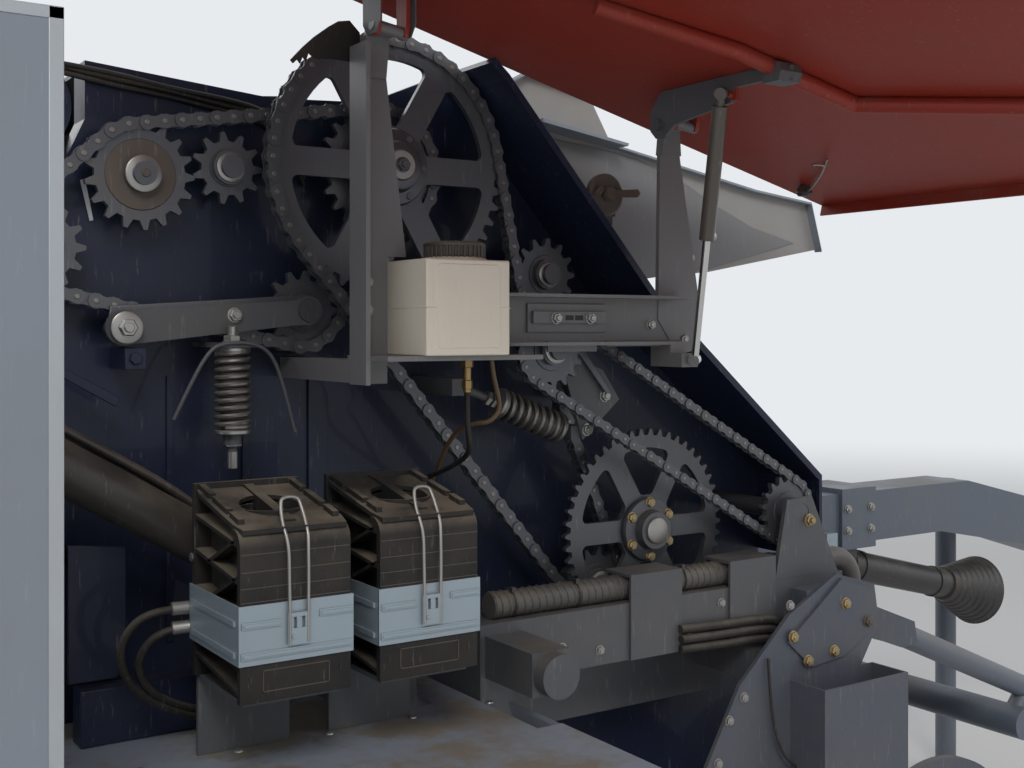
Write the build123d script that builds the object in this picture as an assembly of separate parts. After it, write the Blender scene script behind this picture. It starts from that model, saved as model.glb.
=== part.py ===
from build123d import *
"""Round baler with a ring wrapper behind it, built on one tandem-axle chassis.

Lengths are in millimetres. Sections are laid out from above the ground: X runs forward, Y to the
left and Z up. save() moves each finished piece so that the towing eye's centre is the origin.
"""
import math
import os

# Fits
SEAT = 0.3
SWING = 8.0

# Towing gear
EYE_HEIGHT = 850.0
EYE_BORE_R = 25.0
EYE_OUTER_R = 55.0
EYE_THICKNESS = 32.0
DRAWBAR_HALF = 90.0
DRAWBAR_TOP = 1150.0
DRAWBAR_BOTTOM = 985.0
DRAWBAR_FRONT_X = -230.0
DRAWBAR_REAR_X = -2620.0
CROSS_BEAM_DEPTH = 120.0
SHAFT_FRONT = (-741.0, 0.0, 731.0)
SHAFT_REAR = (-1480.0, 0.0, 910.0)
SHAFT_GUARD_R = 50.0
SHAFT_CONE_R = 120.0
JACK_X = -640.0
JACK_Y = 205.0
JACK_PIVOT_Z = 1050.0
JACK_R = 38.0
JACK_PAD_R = 85.0
JACK_PAD_T = 12.0

# Bale chamber
CHAMBER_X = -3700.0
CHAMBER_Z = 1300.0
ROLLER_RING_R = 710.0
ROLLER_R = 88.0
SKIN_R = 830.0
SKIN_T = 8.0
INNER_HALF = 630.0
WALL_HALF = 700.0
FIXED_ROLLER_ANGLES = (-2.8, 17.6, 38.0, 58.5, 78.9, 97.5, 115.5, 133.3, 266.0, 285.0)
GATE_ROLLER_ANGLES = (152.0, 171.0, 190.0, 209.0, 228.0, 247.0)
GATE_HINGE_X = -4210.0
GATE_HINGE_Z = 2060.0
GATE_BOSS_R = 90.0
GATE_SKIN_START = 150.0
GATE_HALF = WALL_HALF - SWING
HOUSING_TOP = 2140.0

# Front rim that stands out from each side wall
RIM_LINE = (
    (-3398.0, 2193.0),
    (-3365.0, 2165.0),
    (-3008.0, 1762.0),
    (-2517.0, 1351.0),
    (-2517.0, 1170.0),
)
RIM_REACH = 200.0
RIM_T = 10.0

# Tailgate cylinders
LUG_T = 14.0
GATE_CYL_Y = 900.0
GATE_EYE_X = -4400.0
GATE_EYE_Z = 1599.0
GATE_EAR_HALF = 60.0
CYL_ANCHOR_X = -3640.0
CYL_ANCHOR_Z = 1139.0
CYL_BARREL_R = 40.0
CYL_BARREL_LENGTH = 760.0
CYL_ROD_R = 22.0
CYL_EYE_R = 34.0
CYL_EYE_HALF = 28.0
CYL_PIN_R = 16.0

# Chassis
RAIL_WIDTH = 120.0
RAIL_TOP = 1014.0
RAIL_DEPTH = 124.0
RAIL_FRONT_X = -2750.0
RAIL_REAR_X = -5860.0
SIDE_BEAM_OUTER = 980.0
SIDE_BEAM_WIDTH = 110.0
SIDE_BEAM_TOP = 1150.0
SIDE_BEAM_DEPTH = 110.0
SIDE_BEAM_REAR_X = -3480.0
SIDE_BEAM_FRONT_X = -2540.0
DECK_T = 6.0
DECK_INNER = 800.0
DECK_OUTER = 1470.0
DECK_FRONT_X = -3440.0
DECK_REAR_X = -5700.0
GUARD_FRONT_X = -4315.0
GUARD_TOP = 2040.0
GUARD_FOLD = 45.0

# Tandem wheels
WHEEL_R = 475.0
WHEEL_HALF = 240.0
WHEEL_TRACK = 1200.0
FRONT_WHEEL_X = -4060.0
REAR_WHEEL_X = -5130.0
RIM_R = 216.0
TYRE_SIDES = 32
SHOULDER = 56.0
HUB_R = 78.0
AXLE_R = 40.0
BOGIE_INNER = 835.0
BOGIE_OUTER = 925.0
AXLE_TUBE_TOP = 425.0
AXLE_TUBE_SIDE = 110.0

# Chain drives: sprocket columns are x, z, teeth, pitch, plane, windows
HEAVY_PITCH = 31.75
FINE_PITCH = 25.4
ROLLER_PLANE = 755.0
MAIN_PLANE = 797.0
LOWER_PLANE = 845.0
FRONT_PLANE = 930.0
CHAIN_HALF_HEIGHT = 14.0
CHAIN_HALF_WIDTH = 12.0
SPROCKET_T = 12.0
SPROCKETS = {
    "gable": (-4023.0, 1944.0, 17, HEAVY_PITCH, ROLLER_PLANE, 0),
    "rear": (-4187.0, 1816.0, 13, HEAVY_PITCH, ROLLER_PLANE, 0),
    "deep": (-3869.0, 1966.0, 11, HEAVY_PITCH, ROLLER_PLANE, 0),
    "inner": (-3566.0, 1984.0, 23, HEAVY_PITCH, ROLLER_PLANE, 0),
    "slack": (-3726.0, 1715.0, 13, HEAVY_PITCH, ROLLER_PLANE, 0),
    "main": (-3566.0, 1984.0, 47, HEAVY_PITCH, MAIN_PLANE, 6),
    "driver": (-3085.0, 1154.0, 13, HEAVY_PITCH, MAIN_PLANE, 0),
    "idler": (-3216.0, 1792.0, 13, HEAVY_PITCH, MAIN_PLANE, 0),
    "lower": (-2991.0, 1265.0, 50, FINE_PITCH, LOWER_PLANE, 6),
    "front": (-2665.0, 1287.0, 17, FINE_PITCH, FRONT_PLANE, 0),
    "upper": (-3293.0, 1643.0, 17, FINE_PITCH, FRONT_PLANE, 0),
}
# Chain routes: sprockets in the order of travel, with +1 inside the loop and -1 outside it
CHAINS = (
    (ROLLER_PLANE, HEAVY_PITCH, (("inner", 1), ("gable", 1), ("rear", 1), ("slack", 1))),
    (MAIN_PLANE, HEAVY_PITCH, (("main", 1), ("driver", 1), ("idler", -1))),
    (FRONT_PLANE, FINE_PITCH, (("front", 1), ("upper", 1))),
)

# Hood
HOOD_AXIS_Y = 1050.0
HOOD_REAR_X = -4300.0
HOOD_FRONT_X = -2470.0
HOOD_EDGE_X = -3629.0
HOOD_EDGE_Z = 2262.0
HOOD_SLOPE = 14.1
HOOD_INNER_Y = 860.0
HOOD_REAR_REACH = 1180.0
HOOD_FRONT_REACH = 960.0
HOOD_SHEET = 4.0
HOOD_FLANGE = 28.0
HOOD_CLOSE_ANGLE = 80.0
HOOD_SWEEP = 230.0
HINGE_PIN_R = 10.0
POST_REAR = (-3700.0, 2175.0)
POST_FRONT = (-3065.0, 2075.0)
POST_INNER = 1000.0
POST_OUTER = 1060.0
BEAM_TOP = 1745.0
BEAM_BOTTOM = 1652.0
STRUT_LOW = (-3083.0, 1105.0, 1624.0)
STRUT_HIGH = (-3150.0, 1250.0, 2095.0)
STRUT_BARREL_R = 14.0
STRUT_BARREL_LENGTH = 264.0
STRUT_ROD_R = 7.0
STRUT_EYE_R = 13.0
STRUT_STUD = 11.0

# Oil tank and chocks
TANK_X = (-3675.0, -3515.0)
TANK_Y = (968.0, 1130.0)
TANK_Z = (1638.0, 1796.0)
TANK_CORNER = 20.0
TANK_BEVEL = 7.0
CAP_R = 52.0
CAP_HEIGHT = 34.0
CHOCK_X = (-4016.0, -3795.0)
CHOCK_WIDTH = 172.0
CHOCK_Y = (1000.0, 1200.0)
CHOCK_BOTTOM = 1150.0
CHOCK_INNER_TOP = 1446.0
CHOCK_OUTER_TOP = 1405.0
CHOCK_BAND_BOTTOM = 1205.0
CHOCK_BAND_TOP = 1290.0
CHOCK_SHEET = 3.0

# Hose run
HOSE_R = 24.0
HOSE_Y = 945.0
HOSE_BEND_R = 62.0

# Pickup, feed rotor and wind guard
PICKUP_PIVOT = (-2780.0, 760.0)
REEL_X = -2270.0
REEL_Z = 390.0
REEL_HALF = 985.0
REEL_TUBE_R = 70.0
TINE_R = 268.0
TINE_BAR_PITCH_R = 140.0
TINE_BARS = 5
TINE_BAR_HALF = 14.0
TINE_PITCH = 66.0
SHIELD_R = 305.0
SHIELD_INNER = 1018.0
SHIELD_T = 8.0
BAND_R = 205.0
BAND_FLATS = 7
ROTOR_X = -2900.0
ROTOR_Z = 640.0
ROTOR_R = 235.0
ROTOR_TUBE_R = 95.0
ROTOR_STARS = 13
ROTOR_SIDES = 16
FEEDER_INNER = 1026.0
FEEDER_T = 9.0
BOX_OUTER = 1130.0
GUARD_PIVOT = (-2330.0, 985.0)
GUARD_ELBOW = (-1795.0, 760.0)
GUARD_PIPE = (-1860.0, 690.0)
GUARD_ARM_Y = 930.0
GUARD_ARM_R = 28.0
GUARD_PIPE_R = 40.0
GAUGE_X = -2650.0
GAUGE_R = 195.0
GAUGE_Y = 1125.0
GAUGE_HALF = 55.0
GAUGE_SIDES = 20

# Wrapper
RING_Z = 1400.0
RING_INNER_R = 1000.0
RING_OUTER_R = 1100.0
RING_X = (-6100.0, -5975.0)
CARRIER_X = (-5950.0, -5860.3)
CARRIER_INNER_R = 950.0
CARRIER_OUTER_R = 1180.0
GUIDE_R = 34.0
FILM_R = 122.0
FILM_CORE_R = 38.0
FILM_LENGTH = 750.0
FILM_PITCH_R = 1070.0
FILM_FRONT_X = -6190.0
TABLE_REAR_X = -6800.0
TABLE_FRONT_X = -6075.0
TABLE_Z = 772.0
TABLE_ROLLER_R = 95.0
TABLE_ARM = (476.0, 504.0)
CARRIER_BEAM_Y = 400.0
CARRIER_BEAM = (585.0, 660.0)


def block(x0, x1, y0, y1, z0, z1):
    """A straight-sided block between two corners."""
    centre = ((x0 + x1) / 2, (y0 + y1) / 2, (z0 + z1) / 2)
    return Pos(*centre) * Box(abs(x1 - x0), abs(y1 - y0), abs(z1 - z0))


def side_sketch(sketch, y0, y1):
    """A sketch in X and Z made into a plate between two values of Y."""
    low, high = min(y0, y1), max(y0, y1)
    plane = Plane(origin=(0, high, 0), x_dir=(1, 0, 0), z_dir=(0, -1, 0))
    return extrude(plane * sketch, amount=high - low, dir=(0, -1, 0))


def side_plate(points, y0, y1):
    """A plate whose outline is drawn in X and Z, between two values of Y."""
    return side_sketch(make_face(Polyline(*points, close=True)), y0, y1)


def cross_plate(points, x0, x1):
    """A plate whose outline is drawn in Y and Z, between two values of X."""
    low, high = min(x0, x1), max(x0, x1)
    plane = Plane(origin=(low, 0, 0), x_dir=(0, 1, 0), z_dir=(1, 0, 0))
    outline = make_face(Polyline(*points, close=True))
    return extrude(plane * outline, amount=high - low, dir=(1, 0, 0))


def flat_plate(points, z0, z1):
    """A plate whose outline is drawn in X and Y, between two heights."""
    outline = make_face(Polyline(*points, close=True))
    return extrude(Pos(0, 0, min(z0, z1)) * outline, amount=abs(z1 - z0), dir=(0, 0, 1))


def rod(start, end, radius, bore=0.0):
    """A round bar, or a tube where a bore is given, from one point to another."""
    a, b = Vector(*start), Vector(*end)
    plane = Plane(origin=a, z_dir=(b - a).normalized())
    section = Circle(radius) - Circle(bore) if bore else Circle(radius)
    return extrude(plane * section, amount=(b - a).length)


def cross_rod(x, z, y0, y1, radius, bore=0.0):
    """A round bar or tube along Y."""
    return rod((x, min(y0, y1), z), (x, max(y0, y1), z), radius, bore)


def as_list(shape):
    if isinstance(shape, (list, tuple, ShapeList)):
        return [solid for item in shape for solid in as_list(item)]
    return list(shape.solids())


def fused(*shapes):
    solids = as_list(shapes)
    result = solids[0]
    for solid in solids[1:]:
        result = result + solid
    return result


def mirrored(shape):
    """The same piece on the machine's other side."""
    return [solid.mirror(Plane.XZ) for solid in as_list(shape)]


def both_sides(shape):
    return as_list(shape) + mirrored(shape)


def polar(radius, degrees, centre_x=CHAMBER_X, centre_z=CHAMBER_Z):
    angle = math.radians(degrees)
    return (centre_x + radius * math.cos(angle), centre_z + radius * math.sin(angle))


def arc_points(radius, start, end, steps, centre_x=CHAMBER_X, centre_z=CHAMBER_Z):
    step = (end - start) / steps
    return [polar(radius, start + step * i, centre_x, centre_z) for i in range(steps + 1)]


def band(radius, thickness, start, end, steps, centre_x=CHAMBER_X, centre_z=CHAMBER_Z):
    """Outline of a sheet bent round a centre, in short flats as it is rolled."""
    outer = arc_points(radius, start, end, steps, centre_x, centre_z)
    inner = arc_points(radius - thickness, end, start, steps, centre_x, centre_z)
    return outer + inner


def save(name, *shapes):
    """Writes one node as a STEP file of separate solids."""
    solids = [solid.moved(Location((0, 0, -EYE_HEIGHT))) for solid in as_list(shapes)]
    body = solids[0] if len(solids) == 1 else Compound(children=solids)
    body.label = name
    export_step(body, os.path.join("parts", name + ".step"))


# Split between the fixed housing and the tailgate, from the hinge to the chamber's floor
SPLIT_TOP_ANGLE = (FIXED_ROLLER_ANGLES[7] + GATE_ROLLER_ANGLES[0]) / 2
SPLIT_LOW_ANGLE = (GATE_ROLLER_ANGLES[5] + FIXED_ROLLER_ANGLES[8]) / 2
SPLIT_TOP = polar(ROLLER_RING_R, SPLIT_TOP_ANGLE)
SPLIT_LOW = polar(SKIN_R, SPLIT_LOW_ANGLE + 2.0)
HOUSING_REAR_X = GATE_HINGE_X + GATE_BOSS_R + 20.0
HINGE_UNDER = (GATE_HINGE_X + 72.0, GATE_HINGE_Z - 104.0)
WALL_LINE = (
    ((HOUSING_REAR_X, HOUSING_TOP), (-3760.0, 2110.0), (-3560.0, 2122.0))
    + RIM_LINE
    + (
        (-2560.0, 900.0),
        (-2640.0, 560.0),
        (-2800.0, 345.0),
        (-3300.0, 400.0),
        (-3560.0, 470.0),
        SPLIT_LOW,
        SPLIT_TOP,
        HINGE_UNDER,
        (HOUSING_REAR_X, GATE_HINGE_Z - 20.0),
    )
)
RAIL_INNER = WALL_HALF + SEAT
RAIL_OUTER = RAIL_INNER + RAIL_WIDTH
RAIL_BOTTOM = RAIL_TOP - RAIL_DEPTH
SIDE_BEAM_INNER = SIDE_BEAM_OUTER - SIDE_BEAM_WIDTH
SIDE_BEAM_BOTTOM = SIDE_BEAM_TOP - SIDE_BEAM_DEPTH
DECK_TOP = RAIL_TOP + SEAT + DECK_T
BOGIE_X = (FRONT_WHEEL_X + REAR_WHEEL_X) / 2


def chamber_walls():
    wall = side_plate(WALL_LINE, INNER_HALF, WALL_HALF)
    inner_line = [(x - RIM_T * 0.9, z - RIM_T * 1.1) for x, z in RIM_LINE]
    rim = side_plate(list(RIM_LINE) + inner_line[::-1], WALL_HALF - 1.0, WALL_HALF + RIM_REACH)
    return both_sides(fused(wall, rim))


def chamber_skin():
    """Curved sheet round the fixed half of the chamber, its roof and the feed rotor's floor."""
    half = INNER_HALF - SEAT
    roof_skin = side_plate(band(SKIN_R, SKIN_T, 2.0, SPLIT_TOP_ANGLE - 3.0, 14), -half, half)
    floor_skin = side_plate(band(SKIN_R, SKIN_T, SPLIT_LOW_ANGLE + 4.0, 289.0, 4), -half, half)
    top_line = ((HOUSING_REAR_X + 4.0, 2136.0), (-3760.0, 2106.0), (-3562.0, 2118.0), (-3420.0, 2150.0))
    top = side_plate(top_line + tuple((x, z - SKIN_T) for x, z in top_line[::-1]), -half, half)
    floor_line = ((-2790.0, 356.0), (-3100.0, 374.0), (-3290.0, 410.0), (-3400.0, 470.0))
    floor = side_plate(floor_line + tuple((x, z + SKIN_T) for x, z in floor_line[::-1]), -half, half)
    return [roof_skin, floor_skin, top, floor]


def rollers(angles):
    reach = INNER_HALF - SEAT
    places = [polar(ROLLER_RING_R, angle) for angle in angles]
    return [cross_rod(x, z, -reach, reach, ROLLER_R) for x, z in places]


def gate_shell():
    outline = [
        (GATE_HINGE_X - GATE_BOSS_R * 0.95, GATE_HINGE_Z - 20.0),
        (GATE_HINGE_X - 10.0, GATE_HINGE_Z),
        (HINGE_UNDER[0] - SWING * 1.6, HINGE_UNDER[1] - SWING),
        (SPLIT_TOP[0] - SWING * 1.2, SPLIT_TOP[1]),
        (SPLIT_LOW[0] - SWING * 1.2, SPLIT_LOW[1]),
    ]
    outline += arc_points(SKIN_R, SPLIT_LOW_ANGLE + 1.0, GATE_SKIN_START, 10)
    wall = side_plate(outline, INNER_HALF, GATE_HALF)
    boss = cross_rod(GATE_HINGE_X, GATE_HINGE_Z, INNER_HALF, GATE_HALF, GATE_BOSS_R)
    sheet = side_plate(
        band(SKIN_R, SKIN_T, GATE_SKIN_START, SPLIT_LOW_ANGLE, 10), -INNER_HALF - 1.0, INNER_HALF + 1.0
    )
    ribs = [
        side_plate(band(SKIN_R + 60.0, 72.0, angle - 2.5, angle + 2.5, 1), -GATE_HALF, GATE_HALF)
        for angle in (166.0, 200.0, 234.0)
    ]
    reach = CYL_EYE_HALF + SEAT + LUG_T
    low_y, high_y = GATE_CYL_Y - reach, GATE_CYL_Y + reach
    x0, x1 = GATE_EYE_X - GATE_EAR_HALF, GATE_EYE_X + GATE_EAR_HALF
    z0, z1 = GATE_EYE_Z - GATE_EAR_HALF, GATE_EYE_Z + GATE_EAR_HALF
    arm = block(x0, x1, GATE_HALF - 1.0, low_y + 1.0, z0, z1)
    ears = [block(x0, x1, y, y + LUG_T, z0, z1) for y in (low_y, high_y - LUG_T)]
    back = block(x0, x0 + LUG_T, low_y, high_y, z0, z1)
    clevis = fused(arm, ears, back)
    return fused(sheet, both_sides(fused(wall, boss, clevis)), ribs)


def cylinder_pair():
    """Barrel and rod of the left tailgate cylinder, in line from its anchor to the tailgate's eye."""
    anchor = Vector(CYL_ANCHOR_X, GATE_CYL_Y, CYL_ANCHOR_Z)
    eye = Vector(GATE_EYE_X, GATE_CYL_Y, GATE_EYE_Z)
    way = (eye - anchor).normalized()
    low, high = GATE_CYL_Y - CYL_EYE_HALF, GATE_CYL_Y + CYL_EYE_HALF
    barrel_end = anchor + way * (CYL_EYE_R + CYL_BARREL_LENGTH)
    bore_start = anchor + way * 80.0
    barrel = rod(anchor + way * 64.0, barrel_end, CYL_BARREL_R)
    barrel = barrel + rod(anchor + way * (CYL_EYE_R - 8.0), anchor + way * 66.0, CYL_EYE_HALF * 0.8)
    barrel = barrel + cross_rod(anchor.X, anchor.Z, low, high, CYL_EYE_R)
    barrel = barrel - rod(bore_start, barrel_end + way, CYL_ROD_R + 0.05)
    barrel = barrel - cross_rod(anchor.X, anchor.Z, low - 1, high + 1, CYL_PIN_R + 0.05)
    bar = rod(anchor + way * 92.0, eye - way * (CYL_EYE_R - 8.0), CYL_ROD_R)
    bar = bar + cross_rod(eye.X, eye.Z, low, high, CYL_EYE_R)
    bar = bar - cross_rod(eye.X, eye.Z, low - 1, high + 1, CYL_PIN_R + 0.05)
    return barrel, bar


def chassis_frame():
    """Side rails, axle hangers and tube, cylinder anchors, side beams and the wrapper's cross member."""
    rail = block(RAIL_REAR_X, RAIL_FRONT_X, RAIL_INNER, RAIL_OUTER, RAIL_BOTTOM, RAIL_TOP)
    hanger_top = RAIL_BOTTOM + 1.0
    hanger = side_plate(
        (
            (BOGIE_X - 210.0, hanger_top),
            (BOGIE_X + 210.0, hanger_top),
            (BOGIE_X + 110.0, 360.0),
            (BOGIE_X - 110.0, 360.0),
        ),
        RAIL_INNER + 10.0,
        RAIL_OUTER,
    )
    stub = cross_rod(BOGIE_X, WHEEL_R, RAIL_OUTER - 1.0, BOGIE_OUTER + 12.0, 45.0)
    side_beam = block(
        SIDE_BEAM_REAR_X, SIDE_BEAM_FRONT_X, SIDE_BEAM_INNER, SIDE_BEAM_OUTER, SIDE_BEAM_BOTTOM, SIDE_BEAM_TOP
    )
    ties = [
        block(x, x + 70.0, RAIL_OUTER - 30.0, SIDE_BEAM_OUTER, RAIL_TOP - 60.0, SIDE_BEAM_BOTTOM + 1.0)
        for x in (SIDE_BEAM_REAR_X, -2830.0)
    ]
    stub_tube = block(-3470.0, -3390.0, SIDE_BEAM_OUTER - 1.0, 1130.0, 1055.0, 1130.0)
    cap = cross_rod(-3430.0, 1092.0, 1129.0, 1160.0, 38.0)
    low_y, high_y = GATE_CYL_Y - 45.0, GATE_CYL_Y + 45.0
    ears = [
        side_plate(
            (
                (CYL_ANCHOR_X - 60.0, RAIL_TOP - 60.0),
                (CYL_ANCHOR_X + 60.0, RAIL_TOP - 60.0),
                (CYL_ANCHOR_X + 36.0, CYL_ANCHOR_Z + 30.0),
                (CYL_ANCHOR_X - 36.0, CYL_ANCHOR_Z + 30.0),
            ),
            y,
            y + LUG_T,
        )
        for y in (low_y, high_y - LUG_T)
    ]
    pin = cross_rod(CYL_ANCHOR_X, CYL_ANCHOR_Z, low_y, high_y, CYL_PIN_R)
    ear_base = block(
        CYL_ANCHOR_X - 60.0, CYL_ANCHOR_X + 60.0, RAIL_OUTER - 1.0, high_y, RAIL_TOP - 60.0, RAIL_TOP - 20.0
    )
    outrigger = block(RAIL_REAR_X, RAIL_REAR_X + 90.0, RAIL_OUTER - 1.0, 1120.0, RAIL_BOTTOM, RAIL_TOP)
    drop = block(-5740.0, -5660.0, RAIL_INNER + 10.0, RAIL_OUTER, CARRIER_BEAM[0], RAIL_BOTTOM + 1.0)
    half = fused(rail, hanger, stub, side_beam, ties, stub_tube, cap, ears, pin, ear_base, outrigger, drop)
    tube_low = AXLE_TUBE_TOP - AXLE_TUBE_SIDE
    reach = RAIL_INNER + 20.0
    axle_tube = block(BOGIE_X - 55.0, BOGIE_X + 55.0, -reach, reach, tube_low, AXLE_TUBE_TOP)
    rear_cross = block(-5740.0, -5660.0, -reach, reach, CARRIER_BEAM[0], CARRIER_BEAM[1])
    return fused(both_sides(half), axle_tube, rear_cross)


def drawbar():
    side_line = (
        (DRAWBAR_FRONT_X, 795.0),
        (DRAWBAR_FRONT_X, 905.0),
        (-520.0, 1060.0),
        (-900.0, DRAWBAR_TOP),
        (DRAWBAR_REAR_X, DRAWBAR_TOP),
        (DRAWBAR_REAR_X, DRAWBAR_BOTTOM),
        (-1050.0, DRAWBAR_BOTTOM),
        (-600.0, 900.0),
    )
    beam = side_plate(side_line, -DRAWBAR_HALF, DRAWBAR_HALF)
    reach = INNER_HALF - SEAT
    cross = block(
        DRAWBAR_REAR_X - CROSS_BEAM_DEPTH, DRAWBAR_REAR_X + 1.0, -reach, reach, DRAWBAR_BOTTOM, DRAWBAR_TOP
    )
    gusset = flat_plate(
        (
            (DRAWBAR_REAR_X, -380.0),
            (DRAWBAR_REAR_X, 380.0),
            (DRAWBAR_REAR_X + 420.0, DRAWBAR_HALF),
            (DRAWBAR_REAR_X + 420.0, -DRAWBAR_HALF),
        ),
        DRAWBAR_BOTTOM + 20.0,
        DRAWBAR_BOTTOM + 60.0,
    )
    out = DRAWBAR_HALF + 14.0
    plates = block(-1560.0, -1400.0, -out, out, DRAWBAR_BOTTOM - 16.0, DRAWBAR_TOP + 16.0)
    flange = block(DRAWBAR_FRONT_X, DRAWBAR_FRONT_X + 24.0, -100.0, 100.0, 780.0, 920.0)
    z0, z1 = JACK_PIVOT_Z - 50.0, JACK_PIVOT_Z + 50.0
    jack_bracket = block(JACK_X - 45.0, JACK_X + 45.0, DRAWBAR_HALF - 1.0, JACK_Y - JACK_R - 12.0, z0, z1)
    jack_pin = cross_rod(JACK_X, JACK_PIVOT_Z, JACK_Y - JACK_R - 13.0, JACK_Y + JACK_R + 14.0, 15.0)
    return fused(beam, cross, gusset, plates, flange, jack_bracket, jack_pin)


def tow_eye():
    ring = Pos(0, 0, EYE_HEIGHT) * Cylinder(EYE_OUTER_R, EYE_THICKNESS)
    shank = block(DRAWBAR_FRONT_X + 48.0, -35.0, -28.0, 28.0, EYE_HEIGHT - 16.0, EYE_HEIGHT + 16.0)
    base = block(
        DRAWBAR_FRONT_X + 24.0 + SEAT, DRAWBAR_FRONT_X + 50.0, -90.0, 90.0, EYE_HEIGHT - 60.0, EYE_HEIGHT + 60.0
    )
    bore = Pos(0, 0, EYE_HEIGHT) * Cylinder(EYE_BORE_R, EYE_THICKNESS * 2)
    return fused(ring, shank, base) - bore


def jack_leg():
    """Parking leg that swings up behind its pin beside the drawbar."""
    leg = rod((JACK_X, JACK_Y, JACK_PAD_T - 1.0), (JACK_X, JACK_Y, JACK_PIVOT_Z + 60.0), JACK_R)
    pad = Pos(JACK_X, JACK_Y, JACK_PAD_T / 2) * Cylinder(JACK_PAD_R, JACK_PAD_T)
    return fused(leg, pad) - cross_rod(JACK_X, JACK_PIVOT_Z, JACK_Y - 60.0, JACK_Y + 60.0, 15.05)


def drive_line():
    """Sloping guarded shaft, its bearing under the drawbar, and the gearbox between the walls."""
    front, rear = Vector(*SHAFT_FRONT), Vector(*SHAFT_REAR)
    way = (rear - front).normalized()
    tube = rod(front + way * 100.0, rear, SHAFT_GUARD_R)
    cone = loft(
        [
            Plane(origin=front, z_dir=way) * Circle(SHAFT_CONE_R),
            Plane(origin=front + way * 190.0, z_dir=way) * Circle(SHAFT_GUARD_R + 8.0),
        ]
    )
    yoke = rod(front - way * 70.0, front + way * 2.0, 38.0)
    bearing = block(-1600.0, -1470.0, -85.0, 85.0, 850.0, DRAWBAR_BOTTOM - 16.0 - SEAT)
    gearbox = block(-2800.0, -2540.0, -190.0, 190.0, DRAWBAR_TOP + SEAT, 1420.0)
    x, z = SPROCKETS["front"][:2]
    output = cross_rod(x, z, -INNER_HALF + SEAT, -189.0, 42.0)
    return [fused(tube, cone, yoke, bearing), fused(gearbox, output)]


def pitch_radius(teeth, pitch):
    return pitch / (2.0 * math.sin(math.pi / teeth))


def tip_radius(teeth, pitch):
    return pitch_radius(teeth, pitch) + 0.24 * pitch


def sprocket(name):
    """Toothed disc with spoke windows, on a hub and a shaft that ends at the wall."""
    x, z, teeth, pitch, plane_y, windows = SPROCKETS[name]
    pitch_r = pitch_radius(teeth, pitch)
    root_r, tip_r = pitch_r - 0.27 * pitch, tip_radius(teeth, pitch)
    points = []
    for tooth in range(teeth):
        for share, radius in ((-0.30, root_r), (-0.10, tip_r), (0.10, tip_r), (0.30, root_r)):
            angle = 2.0 * math.pi * (tooth + share) / teeth
            points.append((radius * math.cos(angle), radius * math.sin(angle)))
    disc = make_face(Polyline(*points, close=True))
    hub_r = max(30.0, 0.22 * pitch_r)
    if windows:
        outer_r = root_r - 26.0
        ring = Circle(outer_r) - Circle(hub_r + 26.0)
        spoke = 0.22 * pitch_r
        for index in range(windows // 2):
            ring = ring - Rot(0, 0, 360.0 / windows * index) * Rectangle(2.2 * outer_r, spoke)
        disc = disc - fillet(ring.vertices(), 12.0)
    near, far = -plane_y - SPROCKET_T / 2, -plane_y + SPROCKET_T / 2
    body = side_sketch(Pos(x, z) * disc, near, far)
    hub = cross_rod(x, z, near - 14.0, far + 12.0, hub_r)
    start = -ROLLER_PLANE - SPROCKET_T / 2 - 15.0 if name == "main" else -WALL_HALF - SEAT
    shaft = cross_rod(x, z, start, -979.0 if name == "front" else near - 30.0, 20.0)
    return fused(body, hub, shaft)


def belt_route(stops):
    """Straight runs and arcs of a chain round its sprockets."""
    wheels = []
    for name, side in stops:
        x, z, teeth, pitch = SPROCKETS[name][:4]
        wheels.append((x, z, side * pitch_radius(teeth, pitch)))
    count = len(wheels)
    headings = []
    for i in range(count):
        x0, z0, r0 = wheels[i]
        x1, z1, r1 = wheels[(i + 1) % count]
        span = math.hypot(x1 - x0, z1 - z0)
        headings.append(math.atan2(z1 - z0, x1 - x0) + math.asin((r0 - r1) / span))
    route = []
    for i in range(count):
        x, z, r = wheels[i]
        arrive, leave = headings[i - 1], headings[i]
        turn = (leave - arrive) * (1.0 if r > 0 else -1.0) % (2.0 * math.pi)
        route.append(("arc", x, z, r, arrive, turn))
        x1, z1, r1 = wheels[(i + 1) % count]
        start = (x + r * math.sin(leave), z - r * math.cos(leave))
        end = (x1 + r1 * math.sin(leave), z1 - r1 * math.cos(leave))
        route.append(("run", start[0], start[1], leave, math.hypot(end[0] - start[0], end[1] - start[1])))
    return route


def route_length(route):
    return sum(abs(leg[3]) * leg[5] if leg[0] == "arc" else leg[4] for leg in route)


def route_place(route, distance):
    """Point and heading at a distance along a chain's route."""
    for leg in route:
        length = abs(leg[3]) * leg[5] if leg[0] == "arc" else leg[4]
        if distance <= length:
            if leg[0] == "run":
                x, z, heading = leg[1:4]
                return x + distance * math.cos(heading), z + distance * math.sin(heading), heading
            x, z, r, arrive = leg[1:5]
            heading = arrive + distance / r
            return x + r * math.sin(heading), z - r * math.cos(heading), heading
        distance -= length
    return route_place(route, 0.0)


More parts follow.
